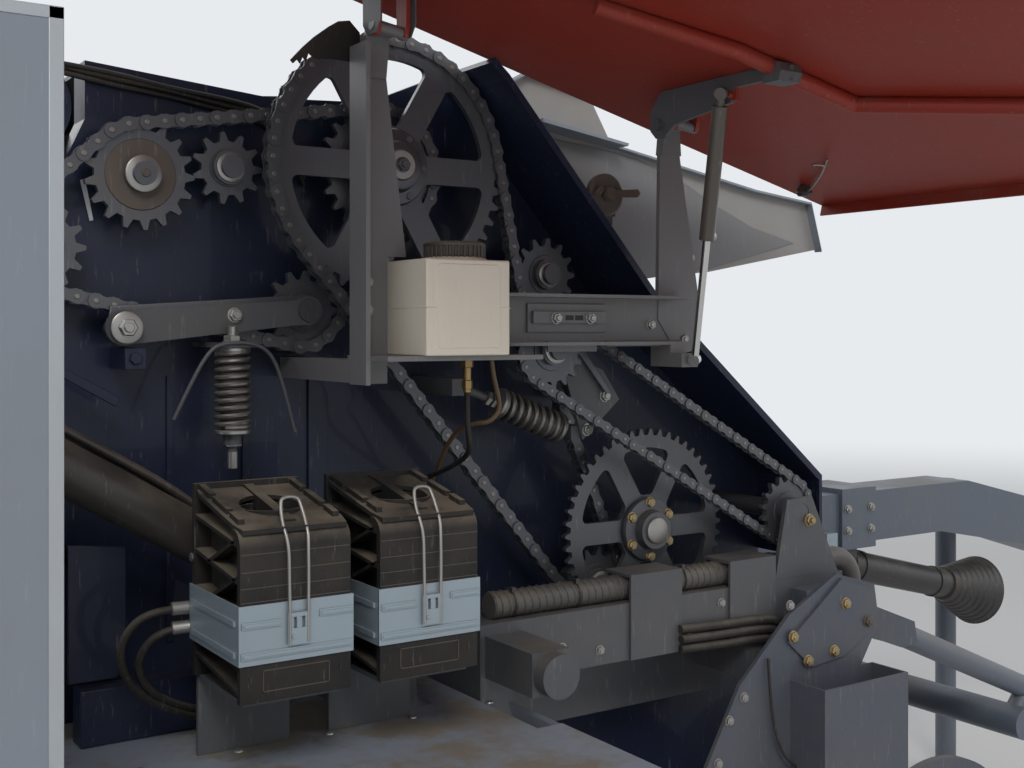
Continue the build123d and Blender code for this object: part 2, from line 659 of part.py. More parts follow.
def chain(plane_y, pitch, stops):
    """One closed loop of links, waisted half way along each link."""
    route = belt_route(stops)
    length = route_length(route)
    links = round(length / pitch)
    outer, inner = [], []
    for half_link in range(2 * links):
        x, z, heading = route_place(route, half_link * length / (2 * links))
        reach = CHAIN_HALF_HEIGHT * pitch / HEAVY_PITCH * (1.0 if half_link % 2 == 0 else 0.72)
        outer.append((x + reach * math.sin(heading), z - reach * math.cos(heading)))
        if half_link % 2 == 0:
            inner.append((x - reach * math.sin(heading), z + reach * math.cos(heading)))
    face = make_face(Polyline(*outer, close=True)) - make_face(Polyline(*inner, close=True))
    half = CHAIN_HALF_WIDTH * pitch / HEAVY_PITCH
    strip = side_sketch(face, -plane_y - half, -plane_y + half)
    groove = SPROCKET_T / 2 + SEAT
    for name, _ in stops:
        x, z, teeth = SPROCKETS[name][:3]
        strip = strip - cross_rod(x, z, -plane_y - groove, -plane_y + groove, tip_radius(teeth, pitch) + 0.8)
    return strip


def tyre(x, y):
    """Wide low-pressure tyre, as flats round its tread and shoulders."""
    start = Plane(origin=(x, y - WHEEL_HALF, WHEEL_R), x_dir=(1, 0, 0), z_dir=(0, 1, 0))
    body = extrude(start * RegularPolygon(WHEEL_R, TYRE_SIDES), amount=2 * WHEEL_HALF)
    rims = body.edges().filter_by(lambda edge: abs((edge @ 0).Y - (edge @ 1).Y) < 1.0)
    body = chamfer(rims, SHOULDER)
    bore = extrude(start * RegularPolygon(RIM_R, TYRE_SIDES), amount=2 * WHEEL_HALF)
    return body - bore


def rim(x, y, side):
    """Dished wheel centre with its hub, bored for the axle."""
    outer_r = RIM_R - SEAT / math.cos(math.pi / TYRE_SIDES)
    half = WHEEL_HALF - 20.0

    def ring(from_y, to_y, *sections):
        plane = Plane(origin=(x, y + min(from_y, to_y), WHEEL_R), x_dir=(1, 0, 0), z_dir=(0, 1, 0))
        face = sections[0] - sections[1] if len(sections) > 1 else sections[0]
        return extrude(plane * face, amount=abs(to_y - from_y))

    barrel = ring(-half, half, RegularPolygon(outer_r, TYRE_SIDES), RegularPolygon(outer_r - 12.0, TYRE_SIDES))
    disc = ring(side * 20.0, side * 36.0, RegularPolygon(outer_r - 11.0, TYRE_SIDES))
    hub = ring(-side * 60.0, side * 110.0, RegularPolygon(HUB_R, TYRE_SIDES))
    bore = rod((x, y - side * 61.0, WHEEL_R), (x, y + side * 80.0, WHEEL_R), AXLE_R + 0.05)
    return fused(barrel, disc, hub) - bore


def bogie():
    beam = side_plate(
        (
            (FRONT_WHEEL_X + 70.0, 420.0),
            (FRONT_WHEEL_X + 70.0, 530.0),
            (BOGIE_X, 590.0),
            (REAR_WHEEL_X - 70.0, 530.0),
            (REAR_WHEEL_X - 70.0, 420.0),
            (BOGIE_X, 380.0),
        ),
        BOGIE_INNER,
        BOGIE_OUTER,
    )
    beam = beam - cross_rod(BOGIE_X, WHEEL_R, BOGIE_INNER - 1.0, BOGIE_OUTER + 1.0, 45.0 + SEAT)
    reach = WHEEL_TRACK + 70.0
    axles = [cross_rod(x, WHEEL_R, BOGIE_OUTER - 1.0, reach, AXLE_R) for x in (FRONT_WHEEL_X, REAR_WHEEL_X)]
    return fused(beam, axles)


def mudguards():
    """Flat decks over the wheels, with a folded outer edge and sloping ends."""
    low = RAIL_TOP + SEAT
    deck = block(DECK_REAR_X, DECK_FRONT_X, DECK_INNER, DECK_OUTER, low, low + DECK_T)
    fold = block(DECK_REAR_X, DECK_FRONT_X, DECK_OUTER - DECK_T, DECK_OUTER, low - 50.0, low + DECK_T)
    nose = side_plate(
        (
            (DECK_FRONT_X - 1.0, low),
            (DECK_FRONT_X - 1.0, low + DECK_T),
            (DECK_FRONT_X, low + DECK_T),
            (DECK_FRONT_X + 66.0, 860.0),
            (DECK_FRONT_X + 60.0, 860.0),
        ),
        SIDE_BEAM_OUTER + 30.0,
        DECK_OUTER,
    )
    tail = block(DECK_REAR_X - DECK_T, DECK_REAR_X, RAIL_OUTER + 10.0, DECK_OUTER, 620.0, low + DECK_T)
    slot = block(CYL_ANCHOR_X - 75.0, CYL_ANCHOR_X + 75.0, DECK_INNER - 1.0, GATE_CYL_Y + 60.0, low - 5, low + 20)
    corner = block(SIDE_BEAM_REAR_X - 10.0, DECK_FRONT_X + 1, DECK_INNER - 1.0, 1175.0, low - 5, low + 20)
    return both_sides(fused(deck, fold, nose, tail) - slot - corner)


def side_guards():
    """Upright panels over the rear half of the decks, folded round the edge."""
    low = DECK_TOP + SEAT
    outer, inner = DECK_OUTER - 30.0, DECK_OUTER - 36.0
    rear = DECK_REAR_X + 40.0
    sheet = block(rear, GUARD_FRONT_X, inner, outer, low, GUARD_TOP)
    folds = [
        block(GUARD_FRONT_X - 6.0, GUARD_FRONT_X, outer - GUARD_FOLD, outer, low, GUARD_TOP),
        block(rear, rear + 6.0, outer - GUARD_FOLD, outer, low, GUARD_TOP),
        block(rear, GUARD_FRONT_X, outer - GUARD_FOLD, outer, GUARD_TOP - 6.0, GUARD_TOP),
    ]
    places = (-4500.0, -5100.0, -5640.0)
    posts = [block(x, x + 60.0, outer - 100.0, inner + 1.0, low, GUARD_TOP - 80.0) for x in places]
    feet = [block(x - 30.0, x + 90.0, outer - 160.0, outer - 30.0, low, low + 8.0) for x in places]
    return both_sides(fused(sheet, folds, posts, feet))


def hood_plane():
    slope = math.radians(HOOD_SLOPE)
    along = (math.cos(slope), 0, -math.sin(slope))
    down = (-math.sin(slope), 0, -math.cos(slope))
    return Plane(origin=(HOOD_EDGE_X, -HOOD_INNER_Y, HOOD_EDGE_Z), x_dir=along, z_dir=down)


def hood_right():
    """Raised side hood: sheet, turned edges, bent stiffening tube and two hinge brackets."""
    plane = hood_plane()
    scale = 1.0 / math.cos(math.radians(HOOD_SLOPE))
    rear_u, front_u = (HOOD_REAR_X - HOOD_EDGE_X) * scale, (HOOD_FRONT_X - HOOD_EDGE_X) * scale
    outline = ((rear_u, 0.0), (front_u, 0.0), (front_u, HOOD_FRONT_REACH), (rear_u + HOOD_SWEEP, HOOD_REAR_REACH))
    sheet = extrude(plane * make_face(Polyline(*outline, close=True)), amount=HOOD_SHEET)
    inner = (
        (rear_u + 4.0, -1.0),
        (front_u - 4.0, -1.0),
        (front_u - 4.0, HOOD_FRONT_REACH - 4.0),
        (rear_u + HOOD_SWEEP + 4.0, HOOD_REAR_REACH - 4.0),
    )
    edge_face = make_face(Polyline(*outline, close=True)) - make_face(Polyline(*inner, close=True))
    edge = extrude(plane * edge_face, amount=HOOD_FLANGE)
    tube_points = ((190.0, 420.0), (430.0, 500.0), (700.0, 520.0), (820.0, 775.0), (900.0, HOOD_FRONT_REACH - 60.0))
    lift = HOOD_SHEET + 13.0
    tube = [
        rod(plane.from_local_coords((u0, v0, lift)), plane.from_local_coords((u1, v1, lift)), 14.0)
        for (u0, v0), (u1, v1) in zip(tube_points, tube_points[1:])
    ]
    knees = [Pos(*plane.from_local_coords((u, v, lift))) * Sphere(14.0) for u, v in tube_points[1:-1]]
    brackets = [hood_bracket(POST_REAR), hood_bracket(POST_FRONT)]
    ball_x, ball_y, ball_z = STRUT_HIGH
    stud_x = ball_x + STRUT_EYE_R + SEAT
    top = HOOD_EDGE_Z - (stud_x - HOOD_EDGE_X) * math.tan(math.radians(HOOD_SLOPE)) - 1.0
    plate_x = stud_x + STRUT_STUD
    plate = block(plate_x, plate_x + 7.0, -ball_y - 11.0, -ball_y + 11.0, ball_z - 10.0, top)
    stud = rod((plate_x + 1.0, -ball_y, ball_z), (stud_x, -ball_y, ball_z), 6.0)
    return fused(sheet, edge, tube, knees, brackets, plate, stud)


def hood_bracket(pivot):
    """Two cheeks from the hood's sheet down to its hinge pin."""
    x, z = pivot
    outline = ((-16.0, 4.0), (-11.0, -12.0), (11.0, -12.0), (16.0, 4.0))
    cheeks = []
    for near in (-30.0, 22.0):
        top = HOOD_EDGE_Z - (x + near - HOOD_EDGE_X) * math.tan(math.radians(HOOD_SLOPE)) + 1.0
        points = [(-HOOD_AXIS_Y + y, z + dz) for y, dz in outline]
        points += [(-HOOD_AXIS_Y + 20.0, top), (-HOOD_AXIS_Y - 20.0, top)]
        cheeks.append(cross_plate(points, x + near, x + near + 8.0))
    axis = hood_axis()
    centre = Vector(x, -HOOD_AXIS_Y, z)
    bore = rod(centre - axis.direction * 50.0, centre + axis.direction * 50.0, HINGE_PIN_R + 0.05)
    return [cheek - bore for cheek in cheeks]


def hood_axis():
    rear = Vector(POST_REAR[0], -HOOD_AXIS_Y, POST_REAR[1])
    front = Vector(POST_FRONT[0], -HOOD_AXIS_Y, POST_FRONT[1])
    return Axis(rear, front - rear)


def closed(shape):
    """A right-hand hood piece turned down to its closed place."""
    return [solid.rotate(hood_axis(), HOOD_CLOSE_ANGLE) for solid in as_list(shape)]


def strut_axis(low, high, other_high):
    """Axis that a strut tilts about, square to its rest and its far place."""
    first, second = Vector(*high) - Vector(*low), Vector(*other_high) - Vector(*low)
    return first.cross(second).normalized()


def strut_pair(low, high, length_open, axis):
    """Gas strut: thin rod from its lower eye, barrel hung from its upper one."""
    a, b = Vector(*low), Vector(*high)
    way = (a - b).normalized()
    eye_half = STRUT_EYE_R * 0.53
    eye_r = math.sqrt(STRUT_EYE_R**2 - eye_half**2)
    barrel = rod(b + way * 22.0, b + way * STRUT_BARREL_LENGTH, STRUT_BARREL_R)
    barrel = barrel + rod(b + way * 8.0, b + way * 23.0, STRUT_ROD_R)
    barrel = barrel + rod(b - axis * eye_half, b + axis * eye_half, eye_r)
    barrel = barrel - rod(b + way * 26.0, b + way * (STRUT_BARREL_LENGTH + 1.0), STRUT_ROD_R + 0.05)
    stem = rod(a - way * (length_open - STRUT_BARREL_LENGTH + 10.0), a - way * 8.0, STRUT_ROD_R)
    return barrel, stem + rod(a - axis * eye_half, a + axis * eye_half, eye_r)


def hood_frame():
    """Posts, channel beam and tank shelf that carry one hood."""
    over_tank = TANK_Z[1] + SWING
    post_rear = side_plate(
        (
            (-3748.0, 2150.0),
            (-3690.0, 2150.0),
            (-3646.0, over_tank),
            (-3682.0, over_tank),
            (-3682.0, 1590.0),
            (-3748.0, 1590.0),
        ),
        POST_INNER,
        POST_INNER + 8.0,
    )
    flange = block(-3748.0, -3740.0, POST_INNER, POST_OUTER, 1590.0, 2150.0)
    knuckle = side_plate(
        ((-3748.0, 2100.0), (-3690.0, 2100.0), (-3682.0, 2188.0), (-3718.0, 2188.0)), POST_INNER, POST_INNER + 20.0
    )
    pin_rear = hinge_pin(POST_REAR)
    post_front = side_plate(
        (
            (-3086.0, 2070.0),
            (-3046.0, 2070.0),
            (-2986.0, 1735.0),
            (-2996.0, 1640.0),
            (-3042.0, 1632.0),
            (-3092.0, 1700.0),
        ),
        POST_INNER,
        POST_INNER + 10.0,
    )
    front_knuckle = side_plate(
        ((-3090.0, 2020.0), (-3042.0, 2020.0), (-3047.0, 2088.0), (-3083.0, 2088.0)), POST_INNER, POST_INNER + 20.0
    )
    pin_front = hinge_pin(POST_FRONT)
    web = block(-3500.0, -3042.0, POST_INNER, POST_INNER + 8.0, BEAM_BOTTOM, BEAM_TOP)
    top = block(-3500.0, -3042.0, POST_INNER, POST_OUTER, BEAM_TOP - 6.0, BEAM_TOP)
    bottom = block(-3500.0, -3042.0, POST_INNER, POST_OUTER, BEAM_BOTTOM, BEAM_BOTTOM + 6.0)
    shelf = block(-3740.0, -3440.0, 975.0, 1120.0, TANK_Z[0] - SEAT - 8.0, TANK_Z[0] - SEAT)
    riser = block(-3500.0, -3440.0, POST_INNER, POST_INNER + 8.0, TANK_Z[0] - 9.0, BEAM_BOTTOM + 1.0)
    arm_low = block(-3745.0, -3695.0, WALL_HALF + SEAT, POST_INNER + 1.0, 1592.0, 1630.0)
    arm_front = block(-3046.0, -2996.0, WALL_HALF + SEAT, POST_INNER + 1.0, 1655.0, 1730.0)
    ball = STRUT_LOW
    seat_y = ball[1] - STRUT_EYE_R - SEAT
    seat = block(ball[0] - 20.0, ball[0] + 20.0, POST_INNER + 1.0, seat_y, ball[2] - 14.0, ball[2] + 12.0)
    seat = seat + block(ball[0] - 20.0, ball[0] + 20.0, POST_INNER + 1.0, POST_OUTER, ball[2], BEAM_BOTTOM + 1.0)
    return fused(
        post_rear, flange, knuckle, pin_rear, post_front, front_knuckle, pin_front,
        web, top, bottom, shelf, riser, arm_low, arm_front, seat,
    )


def hinge_pin(pivot):
    """Short pin at a post's top, on the hood's axis line."""
    rear = Vector(POST_REAR[0], HOOD_AXIS_Y, POST_REAR[1])
    front = Vector(POST_FRONT[0], HOOD_AXIS_Y, POST_FRONT[1])
    way = (front - rear).normalized()
    centre = Vector(pivot[0], HOOD_AXIS_Y, pivot[1])
    pin = rod(centre - way * 34.0, centre + way * 34.0, HINGE_PIN_R)
    bridge = block(
        pivot[0] - 14.0, pivot[0] + 14.0, POST_INNER + 5.0, HOOD_AXIS_Y + 4.0, pivot[1] - 8.0, pivot[1] + 8.0
    )
    return fused(pin, bridge)


def oil_tank():
    body = block(TANK_X[0], TANK_X[1], -TANK_Y[1], -TANK_Y[0], TANK_Z[0], TANK_Z[1])
    body = fillet(body.edges().filter_by(Axis.Z), TANK_CORNER)
    body = chamfer(body.faces().sort_by(Axis.Z)[-1].edges(), TANK_BEVEL)
    body = chamfer(body.faces().sort_by(Axis.Z)[0].edges(), TANK_BEVEL)
    centre_x, centre_y = (TANK_X[0] + TANK_X[1]) / 2 + 20.0, -(TANK_Y[0] + TANK_Y[1]) / 2
    cap = rod((centre_x, centre_y, TANK_Z[1] - 2.0), (centre_x, centre_y, TANK_Z[1] + CAP_HEIGHT), CAP_R)
    return fused(body, cap)


def chock_bodies():
    blocks = []
    for x in CHOCK_X:
        outline = (
            (-CHOCK_Y[1], CHOCK_BOTTOM),
            (-CHOCK_Y[0], CHOCK_BOTTOM),
            (-CHOCK_Y[0], CHOCK_INNER_TOP),
            (-CHOCK_Y[1], CHOCK_OUTER_TOP),
        )
        body = cross_plate(outline, x, x + CHOCK_WIDTH)
        centre = (x + CHOCK_WIDTH / 2, -(CHOCK_Y[0] + CHOCK_Y[1]) / 2)
        pocket = rod((*centre, CHOCK_BOTTOM + 60.0), (*centre, CHOCK_INNER_TOP + 10.0), 46.0)
        blocks.append(body - pocket)
    return blocks


def chock_holders():
    """Band round each chock, its foot, and the stand behind it on the deck."""
    pieces = []
    sheet = CHOCK_SHEET
    for x in CHOCK_X:
        x0, x1 = x - SEAT, x + CHOCK_WIDTH + SEAT
        y0, y1 = -CHOCK_Y[1] - SEAT, -CHOCK_Y[0] + SEAT
        outer = block(x0 - sheet, x1 + sheet, y0 - sheet, y1 + sheet, CHOCK_BAND_BOTTOM, CHOCK_BAND_TOP)
        hoop = outer - block(x0, x1, y0, y1, CHOCK_BAND_BOTTOM - 1, CHOCK_BAND_TOP + 1)
        stand = block(x0 + 10.0, x1 - 10.0, y1 + sheet - 1.0, y1 + 10.0, DECK_TOP + SEAT, CHOCK_BAND_TOP + 120.0)
        foot = block(x0 + 10.0, x1 - 10.0, y0 + 20.0, y1 + 10.0, CHOCK_BOTTOM - 8.0, CHOCK_BOTTOM - SEAT)
        pieces.append(fused(hoop, stand, foot))
    return pieces


def tensioners():
    """Lever plate, spring rods and bracket plates on the right wall."""
    wall_y = -WALL_HALF - SEAT
    lever_y = (-ROLLER_PLANE - 32.0, -ROLLER_PLANE - 22.0)
    pivot, end = (-4058.0, 1684.0), SPROCKETS["slack"][:2]
    lever_face = make_face(Polyline(
        (pivot[0], pivot[1] - 29.0), (end[0], end[1] - 24.0), (end[0], end[1] + 20.0), (pivot[0], pivot[1] + 29.0),
        close=True,
    ))
    lever = side_sketch(lever_face + Pos(*pivot) * Circle(30.0) + Pos(*end) * Circle(26.0), *lever_y)
    lever = lever - cross_rod(end[0], end[1], lever_y[0] - 1, lever_y[1] + 1, 20.0 + SEAT)
    stub = cross_rod(pivot[0], pivot[1], wall_y, lever_y[0] - 12.0, 12.0)
    hanger = block(-3912.0, -3842.0, -838.0, wall_y, 1650.0, 1658.0)
    rod_one = rod((-3877.0, -805.0, 1449.0), (-3877.0, -805.0, 1651.0), 8.0)
    spring_one = spring((-3877.0, -805.0, 1649.7), (-3877.0, -805.0, 1508.0), 26.0, 11)
    nut_one = rod((-3877.0, -805.0, 1482.0), (-3877.0, -805.0, 1508.5), 16.0)
    tri = side_plate(((-3241.0, 1641.0), (-3132.0, 1600.0), (-3090.0, 1540.0), (-3182.0, 1462.0)), -886.0, -878.0)
    tri_stub = cross_rod(-3125.0, 1552.0, wall_y, -879.0, 17.0)
    low, high = (-3440.0, -845.0, 1572.0), (-3196.0, -845.0, 1478.0)
    rod_two = rod(low, high, 8.0)
    clamp = block(-3205.0, -3175.0, -879.0, -835.0, 1466.0, 1490.0)
    spring_start = (-3352.0, -845.0, 1538.1)
    spring_two = spring(spring_start, (-3212.0, -845.0, 1484.2), 26.0, 9)
    anchor = block(-3465.0, -3425.0, -856.0, wall_y, 1556.0, 1588.0)
    first = fused(hanger, rod_one, spring_one, nut_one)
    second = fused(tri, tri_stub, rod_two, clamp, spring_two, anchor)
    return [fused(lever, stub), first, second]


def spring(start, end, radius, coils):
    """Compression spring as a ridged sleeve, one ridge a coil."""
    a, b = Vector(*start), Vector(*end)
    pitch = (b - a).length / coils
    profile = [(0.0, 0.0)]
    for coil in range(coils):
        profile += [(radius - 7.0, coil * pitch), (radius, (coil + 0.5) * pitch)]
    profile += [(radius - 7.0, coils * pitch), (0.0, coils * pitch)]
    plane = Plane(origin=a, x_dir=(0, 1, 0), z_dir=(b - a).normalized())
    section = Plane(origin=(0, 0, 0), x_dir=(1, 0, 0), z_dir=(0, -1, 0)) * make_face(Polyline(*profile, close=True))
    return plane * revolve(section, Axis.Z)


def hose_run():
    """Sleeved hose bundle along the right side beam, turned down past its front end."""
    height = SIDE_BEAM_TOP + SEAT + HOSE_R
    front_x = SIDE_BEAM_FRONT_X + HOSE_BEND_R + 2.0
    points = (
        (-3440.0, -HOSE_Y, height),
        (front_x, -HOSE_Y, height),
        (front_x, -HOSE_Y, 1000.0),
    )
    path = FilletPolyline(*points, radius=HOSE_BEND_R)
    start = Plane(origin=points[0], z_dir=path % 0)
    return sweep(start * Circle(HOSE_R), path=path)


def hose_saddles():
    pieces = []
    for x in (-3140.0, -2880.0):
        top = SIDE_BEAM_TOP + SEAT
        crown = top + 2.0 * HOSE_R + SEAT
        outside, inside = -SIDE_BEAM_OUTER - SEAT, -HOSE_Y + HOSE_R + 16.0
        frame = cross_plate(
            (
                (outside - 6.0, SIDE_BEAM_BOTTOM),
                (outside - 6.0, crown + 6.0),
                (inside, crown + 6.0),
                (inside, top),
                (inside - 6.0, top),
                (inside - 6.0, crown),
                (outside, crown),
                (outside, SIDE_BEAM_BOTTOM),
            ),
            x,
            x + 130.0,
        )
        pieces.append(frame)
    return pieces


def bearing_bracket():
    """Two-legged plate on the side beam that carries the front sprocket's shaft end."""
    x, z = SPROCKETS["front"][:2]
    top = SIDE_BEAM_TOP + SEAT
    plate = side_plate(((x - 80.0, top), (x - 45.0, z + 30.0), (x + 30.0, z + 34.0), (x + 110.0, top)), -980.0, -970.0)
    return plate - cross_rod(x, z, -981.0, -969.0, 20.0 + SEAT)


def net_unit():
    """Net roll housing ahead of the chamber: side cheeks, cover, tray and the roll."""
    start, end = RIM_LINE[1], RIM_LINE[2]
    slope = (end[1] - start[1]) / (end[0] - start[0])

    def on_rim(x):
        return (x + 1.5 * SEAT, start[1] + slope * (x - start[0]))

    cheek_line = (
        on_rim(-3310.0),
        (-3257.0, 2189.0),
        (-3195.0, 2223.0),
        (-3032.0, 2198.0),
        (-2963.0, 2085.0),
        (-2547.0, 2014.0),
        (-2360.0, 1994.0),
        (-2325.0, 1879.0),
        (-2681.0, 1815.0),
        on_rim(-3025.0),
    )
    cheeks = both_sides(side_plate(cheek_line, WALL_HALF - 8.0, WALL_HALF))
    cover_line = ((-3120.0, 2090.0), (-2963.0, 2085.0), (-2547.0, 2014.0), (-2360.0, 1994.0), (-2325.0, 1879.0))
    back = ((-2331.0, 1878.0), (-2366.0, 1987.0), (-2549.0, 2007.0), (-2964.0, 2078.0), (-3120.0, 2083.0))
    reach = WALL_HALF - 7.0
    cover = side_plate(cover_line + back, -reach, reach)
    tray_top = ((-2328.0, 1878.0), (-2681.0, 1815.0), (-2900.0, 1800.0))
    tray_low = ((-2900.0, 1807.0), (-2680.0, 1822.0), (-2330.0, 1885.0))
    tray = side_plate(tray_top + tray_low, -reach, reach)
    roll = cross_rod(-2760.0, 1935.0, -reach, reach, 85.0)
    return fused(cheeks, cover, tray, roll)


def feeder_sides():
    """Plates each side of the feed rotor, tied to the side beams, and the open sheet box on the right."""
    outline = (
        (-3040.0, 660.0),
        (-2989.0, 816.0),
        (-2900.0, 965.0),
        (-2760.0, 1090.0),
        (-2620.0, 1160.0),
        (-2500.0, 1125.0),
        (-2485.0, 1040.0),
        (-2560.0, 930.0),
        (-2640.0, 800.0),
        (-2700.0, 660.0),
    )
    plate = side_plate(outline, FEEDER_INNER, FEEDER_INNER + FEEDER_T)
    tie = block(-2700.0, -2600.0, SIDE_BEAM_OUTER + SEAT, FEEDER_INNER + 1.0, 1050.0, 1130.0)
    pin = cross_rod(PICKUP_PIVOT[0], PICKUP_PIVOT[1], 990.0, FEEDER_INNER + 1.0, 20.0)
    bolted = side_plate(
        ((-2770.0, 1035.0), (-2610.0, 1150.0), (-2510.0, 1115.0), (-2490.0, 1045.0), (-2600.0, 985.0), (-2700.0, 975.0)),
        FEEDER_INNER + FEEDER_T - 1.0,
        FEEDER_INNER + FEEDER_T + 7.0,
    )
    guard_pin = cross_rod(GUARD_PIVOT[0], GUARD_PIVOT[1], GUARD_ARM_Y - 42.0, 990.0, 14.0)
    guard_arm = side_plate(
        ((-2596.0, 1044.0), (-2596.0, 1120.0), (-2310.0, 1010.0), (-2300.0, 960.0), (-2350.0, 955.0)),
        SIDE_BEAM_OUTER + SEAT,
        SIDE_BEAM_OUTER + SEAT + 10.0,
    )
    side = fused(plate, tie, pin, bolted)
    inner = FEEDER_INNER + FEEDER_T
    shell = block(-2758.0, -2505.0, inner - 1.0, BOX_OUTER, 700.0, 955.0)
    hollow = block(-2754.0, -2509.0, inner, BOX_OUTER - 4.0, 704.0, 956.0)
    box = shell - hollow
    side = fused(side, guard_pin, guard_arm)
    return mirrored(fused(side, box)) + [side]


def feed_rotor():
    core = Pos(ROTOR_X, ROTOR_Z) * RegularPolygon(ROTOR_TUBE_R, ROTOR_SIDES)
    tube = side_sketch(core, -INNER_HALF + SEAT, INNER_HALF - SEAT)
    stars = []
    pitch = (2 * INNER_HALF - 120.0) / (ROTOR_STARS - 1)
    for index in range(ROTOR_STARS):
        y = -INNER_HALF + 60.0 + index * pitch
        points = []
        for step in range(8):
            radius = ROTOR_R if step % 2 == 0 else ROTOR_TUBE_R * 1.15
            angle = 45.0 * step + 15.0 * index
            points.append(polar(radius, angle, ROTOR_X, ROTOR_Z))
        stars.append(side_plate(points, y - 6.0, y + 6.0))
    return fused(tube, stars)


def pickup_frame():
    arm = side_plate(
        (
            (PICKUP_PIVOT[0] - 50.0, PICKUP_PIVOT[1] - 40.0),
            (PICKUP_PIVOT[0] - 30.0, PICKUP_PIVOT[1] + 50.0),
            (PICKUP_PIVOT[0] + 60.0, PICKUP_PIVOT[1] + 40.0),
            (REEL_X - 120.0, REEL_Z + 130.0),
            (REEL_X - 200.0, REEL_Z - 60.0),
            (PICKUP_PIVOT[0] + 60.0, 380.0),
        ),
        998.0,
        1010.0,
    )
    arm = arm - cross_rod(PICKUP_PIVOT[0], PICKUP_PIVOT[1], 997.0, 1011.0, 20.05)
    shield = side_sketch(Pos(REEL_X, REEL_Z) * Circle(SHIELD_R), SHIELD_INNER - 12.0, SHIELD_INNER + SHIELD_T)
    shield = shield - cross_rod(REEL_X, REEL_Z, 990.0, SHIELD_INNER + SHIELD_T + 1, 30.05)
    gauge_arm = side_plate(
        ((GAUGE_X - 25.0, 180.0), (GAUGE_X + 25.0, 180.0), (GAUGE_X + 25.0, 460.0), (GAUGE_X - 25.0, 460.0)),
        1040.0,
        1052.0,
    )
    gauge_link = block(GAUGE_X - 25.0, GAUGE_X + 25.0, 1009.0, 1041.0, 430.0, 460.0)
    stub = cross_rod(GAUGE_X, GAUGE_R + 4.0, 1051.0, GAUGE_Y + GAUGE_HALF + 8.0, 15.0)
    side = fused(arm, shield, gauge_arm, gauge_link, stub)
    tube = cross_rod(-2590.0, 330.0, -999.0, 999.0, 48.0)
    bands = []
    pitch = TINE_PITCH
    count = int(2 * (REEL_HALF - 40.0) / pitch)
    for index in range(count + 1):
        y = (index - count / 2) * pitch
        outline = band(BAND_R, 3.0, -60.0, 170.0, BAND_FLATS, REEL_X, REEL_Z)
        half = BAND_FLATS + 1
        outline = outline[:half] + [(-2560.0, 372.0), (-2560.0, 369.0)] + outline[half:]
        bands.append(side_plate(outline, y - 24.0, y + 24.0))
    sheet_line = ((-2556.0, 340.0), (-2556.0, 374.0), (-2640.0, 430.0), (-2644.0, 426.0), (-2590.0, 370.0))
    sheet = side_plate(sheet_line, -998.5, 998.5)
    return fused(both_sides(side), tube, bands, sheet)


def pickup_reel():
    tube = cross_rod(REEL_X, REEL_Z, -REEL_HALF, REEL_HALF, REEL_TUBE_R)
    ends = [
        cross_rod(REEL_X, REEL_Z, y, y + 10.0, TINE_BAR_PITCH_R + 22.0) for y in (-REEL_HALF, -5.0, REEL_HALF - 10.0)
    ]
    shafts = cross_rod(REEL_X, REEL_Z, -SHIELD_INNER - SHIELD_T, SHIELD_INNER + SHIELD_T, 30.0)
    pieces = [fused(tube, ends, shafts)]
    count = int(2 * (REEL_HALF - 40.0) / TINE_PITCH)
    for bar in range(TINE_BARS):
        angle = 360.0 / TINE_BARS * bar + 10.0
        x, z = polar(TINE_BAR_PITCH_R, angle, REEL_X, REEL_Z)
        section = Pos(x, z) * Rot(0, 0, angle) * Rectangle(2 * TINE_BAR_HALF, 2 * TINE_BAR_HALF)
        pieces.append(side_sketch(section, -REEL_HALF + 1.0, REEL_HALF - 1.0))
        tx, tz = polar(TINE_R, angle + 4.0, REEL_X, REEL_Z)
        for index in range(count):
            y = (index - (count - 1) / 2) * TINE_PITCH
            pieces.append(tine((x, y, z), (tx, y, tz)))
    return fused(pieces)


def tine(start, end):
    a, b = Vector(*start), Vector(*end)
    plane = Plane(origin=a, x_dir=(0, 1, 0), z_dir=(b - a).normalized())
    return extrude(plane * Rectangle(6.0, 6.0), amount=(b - a).length)


def gauge_wheel():
    y0, y1 = GAUGE_Y - GAUGE_HALF, GAUGE_Y + GAUGE_HALF
    z = GAUGE_R + 4.0
    plane = Plane(origin=(GAUGE_X, y0, z), x_dir=(1, 0, 0), z_dir=(0, 1, 0))
    wheel = extrude(plane * RegularPolygon(GAUGE_R, GAUGE_SIDES), amount=y1 - y0)
    rims = wheel.edges().filter_by(lambda edge: abs((edge @ 0).Y - (edge @ 1).Y) < 1.0)
    wheel = chamfer(rims, 18.0)
    return wheel - cross_rod(GAUGE_X, z, y0 - 1, y1 + 1, 15.05)


def wind_guard():
    """Bent tube arms that hang from the feeder plates, joined by the guard's pipe."""
    y = GUARD_ARM_Y
    pivot = (GUARD_PIVOT[0], y, GUARD_PIVOT[1])
    elbow = (GUARD_ELBOW[0], y, GUARD_ELBOW[1])
    low = (GUARD_PIPE[0], y, GUARD_PIPE[1])
    eye = cross_rod(*GUARD_PIVOT, y - 34.0, y + 34.0, 32.0)
    side = fused(rod(pivot, elbow, GUARD_ARM_R), Pos(*elbow) * Sphere(GUARD_ARM_R), rod(elbow, low, GUARD_ARM_R), eye)
    side = side - cross_rod(*GUARD_PIVOT, y - 60.0, y + 60.0, 14.05)
    pipe = cross_rod(*GUARD_PIPE, -y - 40.0, y + 40.0, GUARD_PIPE_R)
    return fused(both_sides(side), pipe)


def octagon(radius):
    return [
        (radius * math.cos(math.radians(22.5 + 45.0 * i)), RING_Z + radius * math.sin(math.radians(22.5 + 45.0 * i)))
        for i in range(8)
    ]


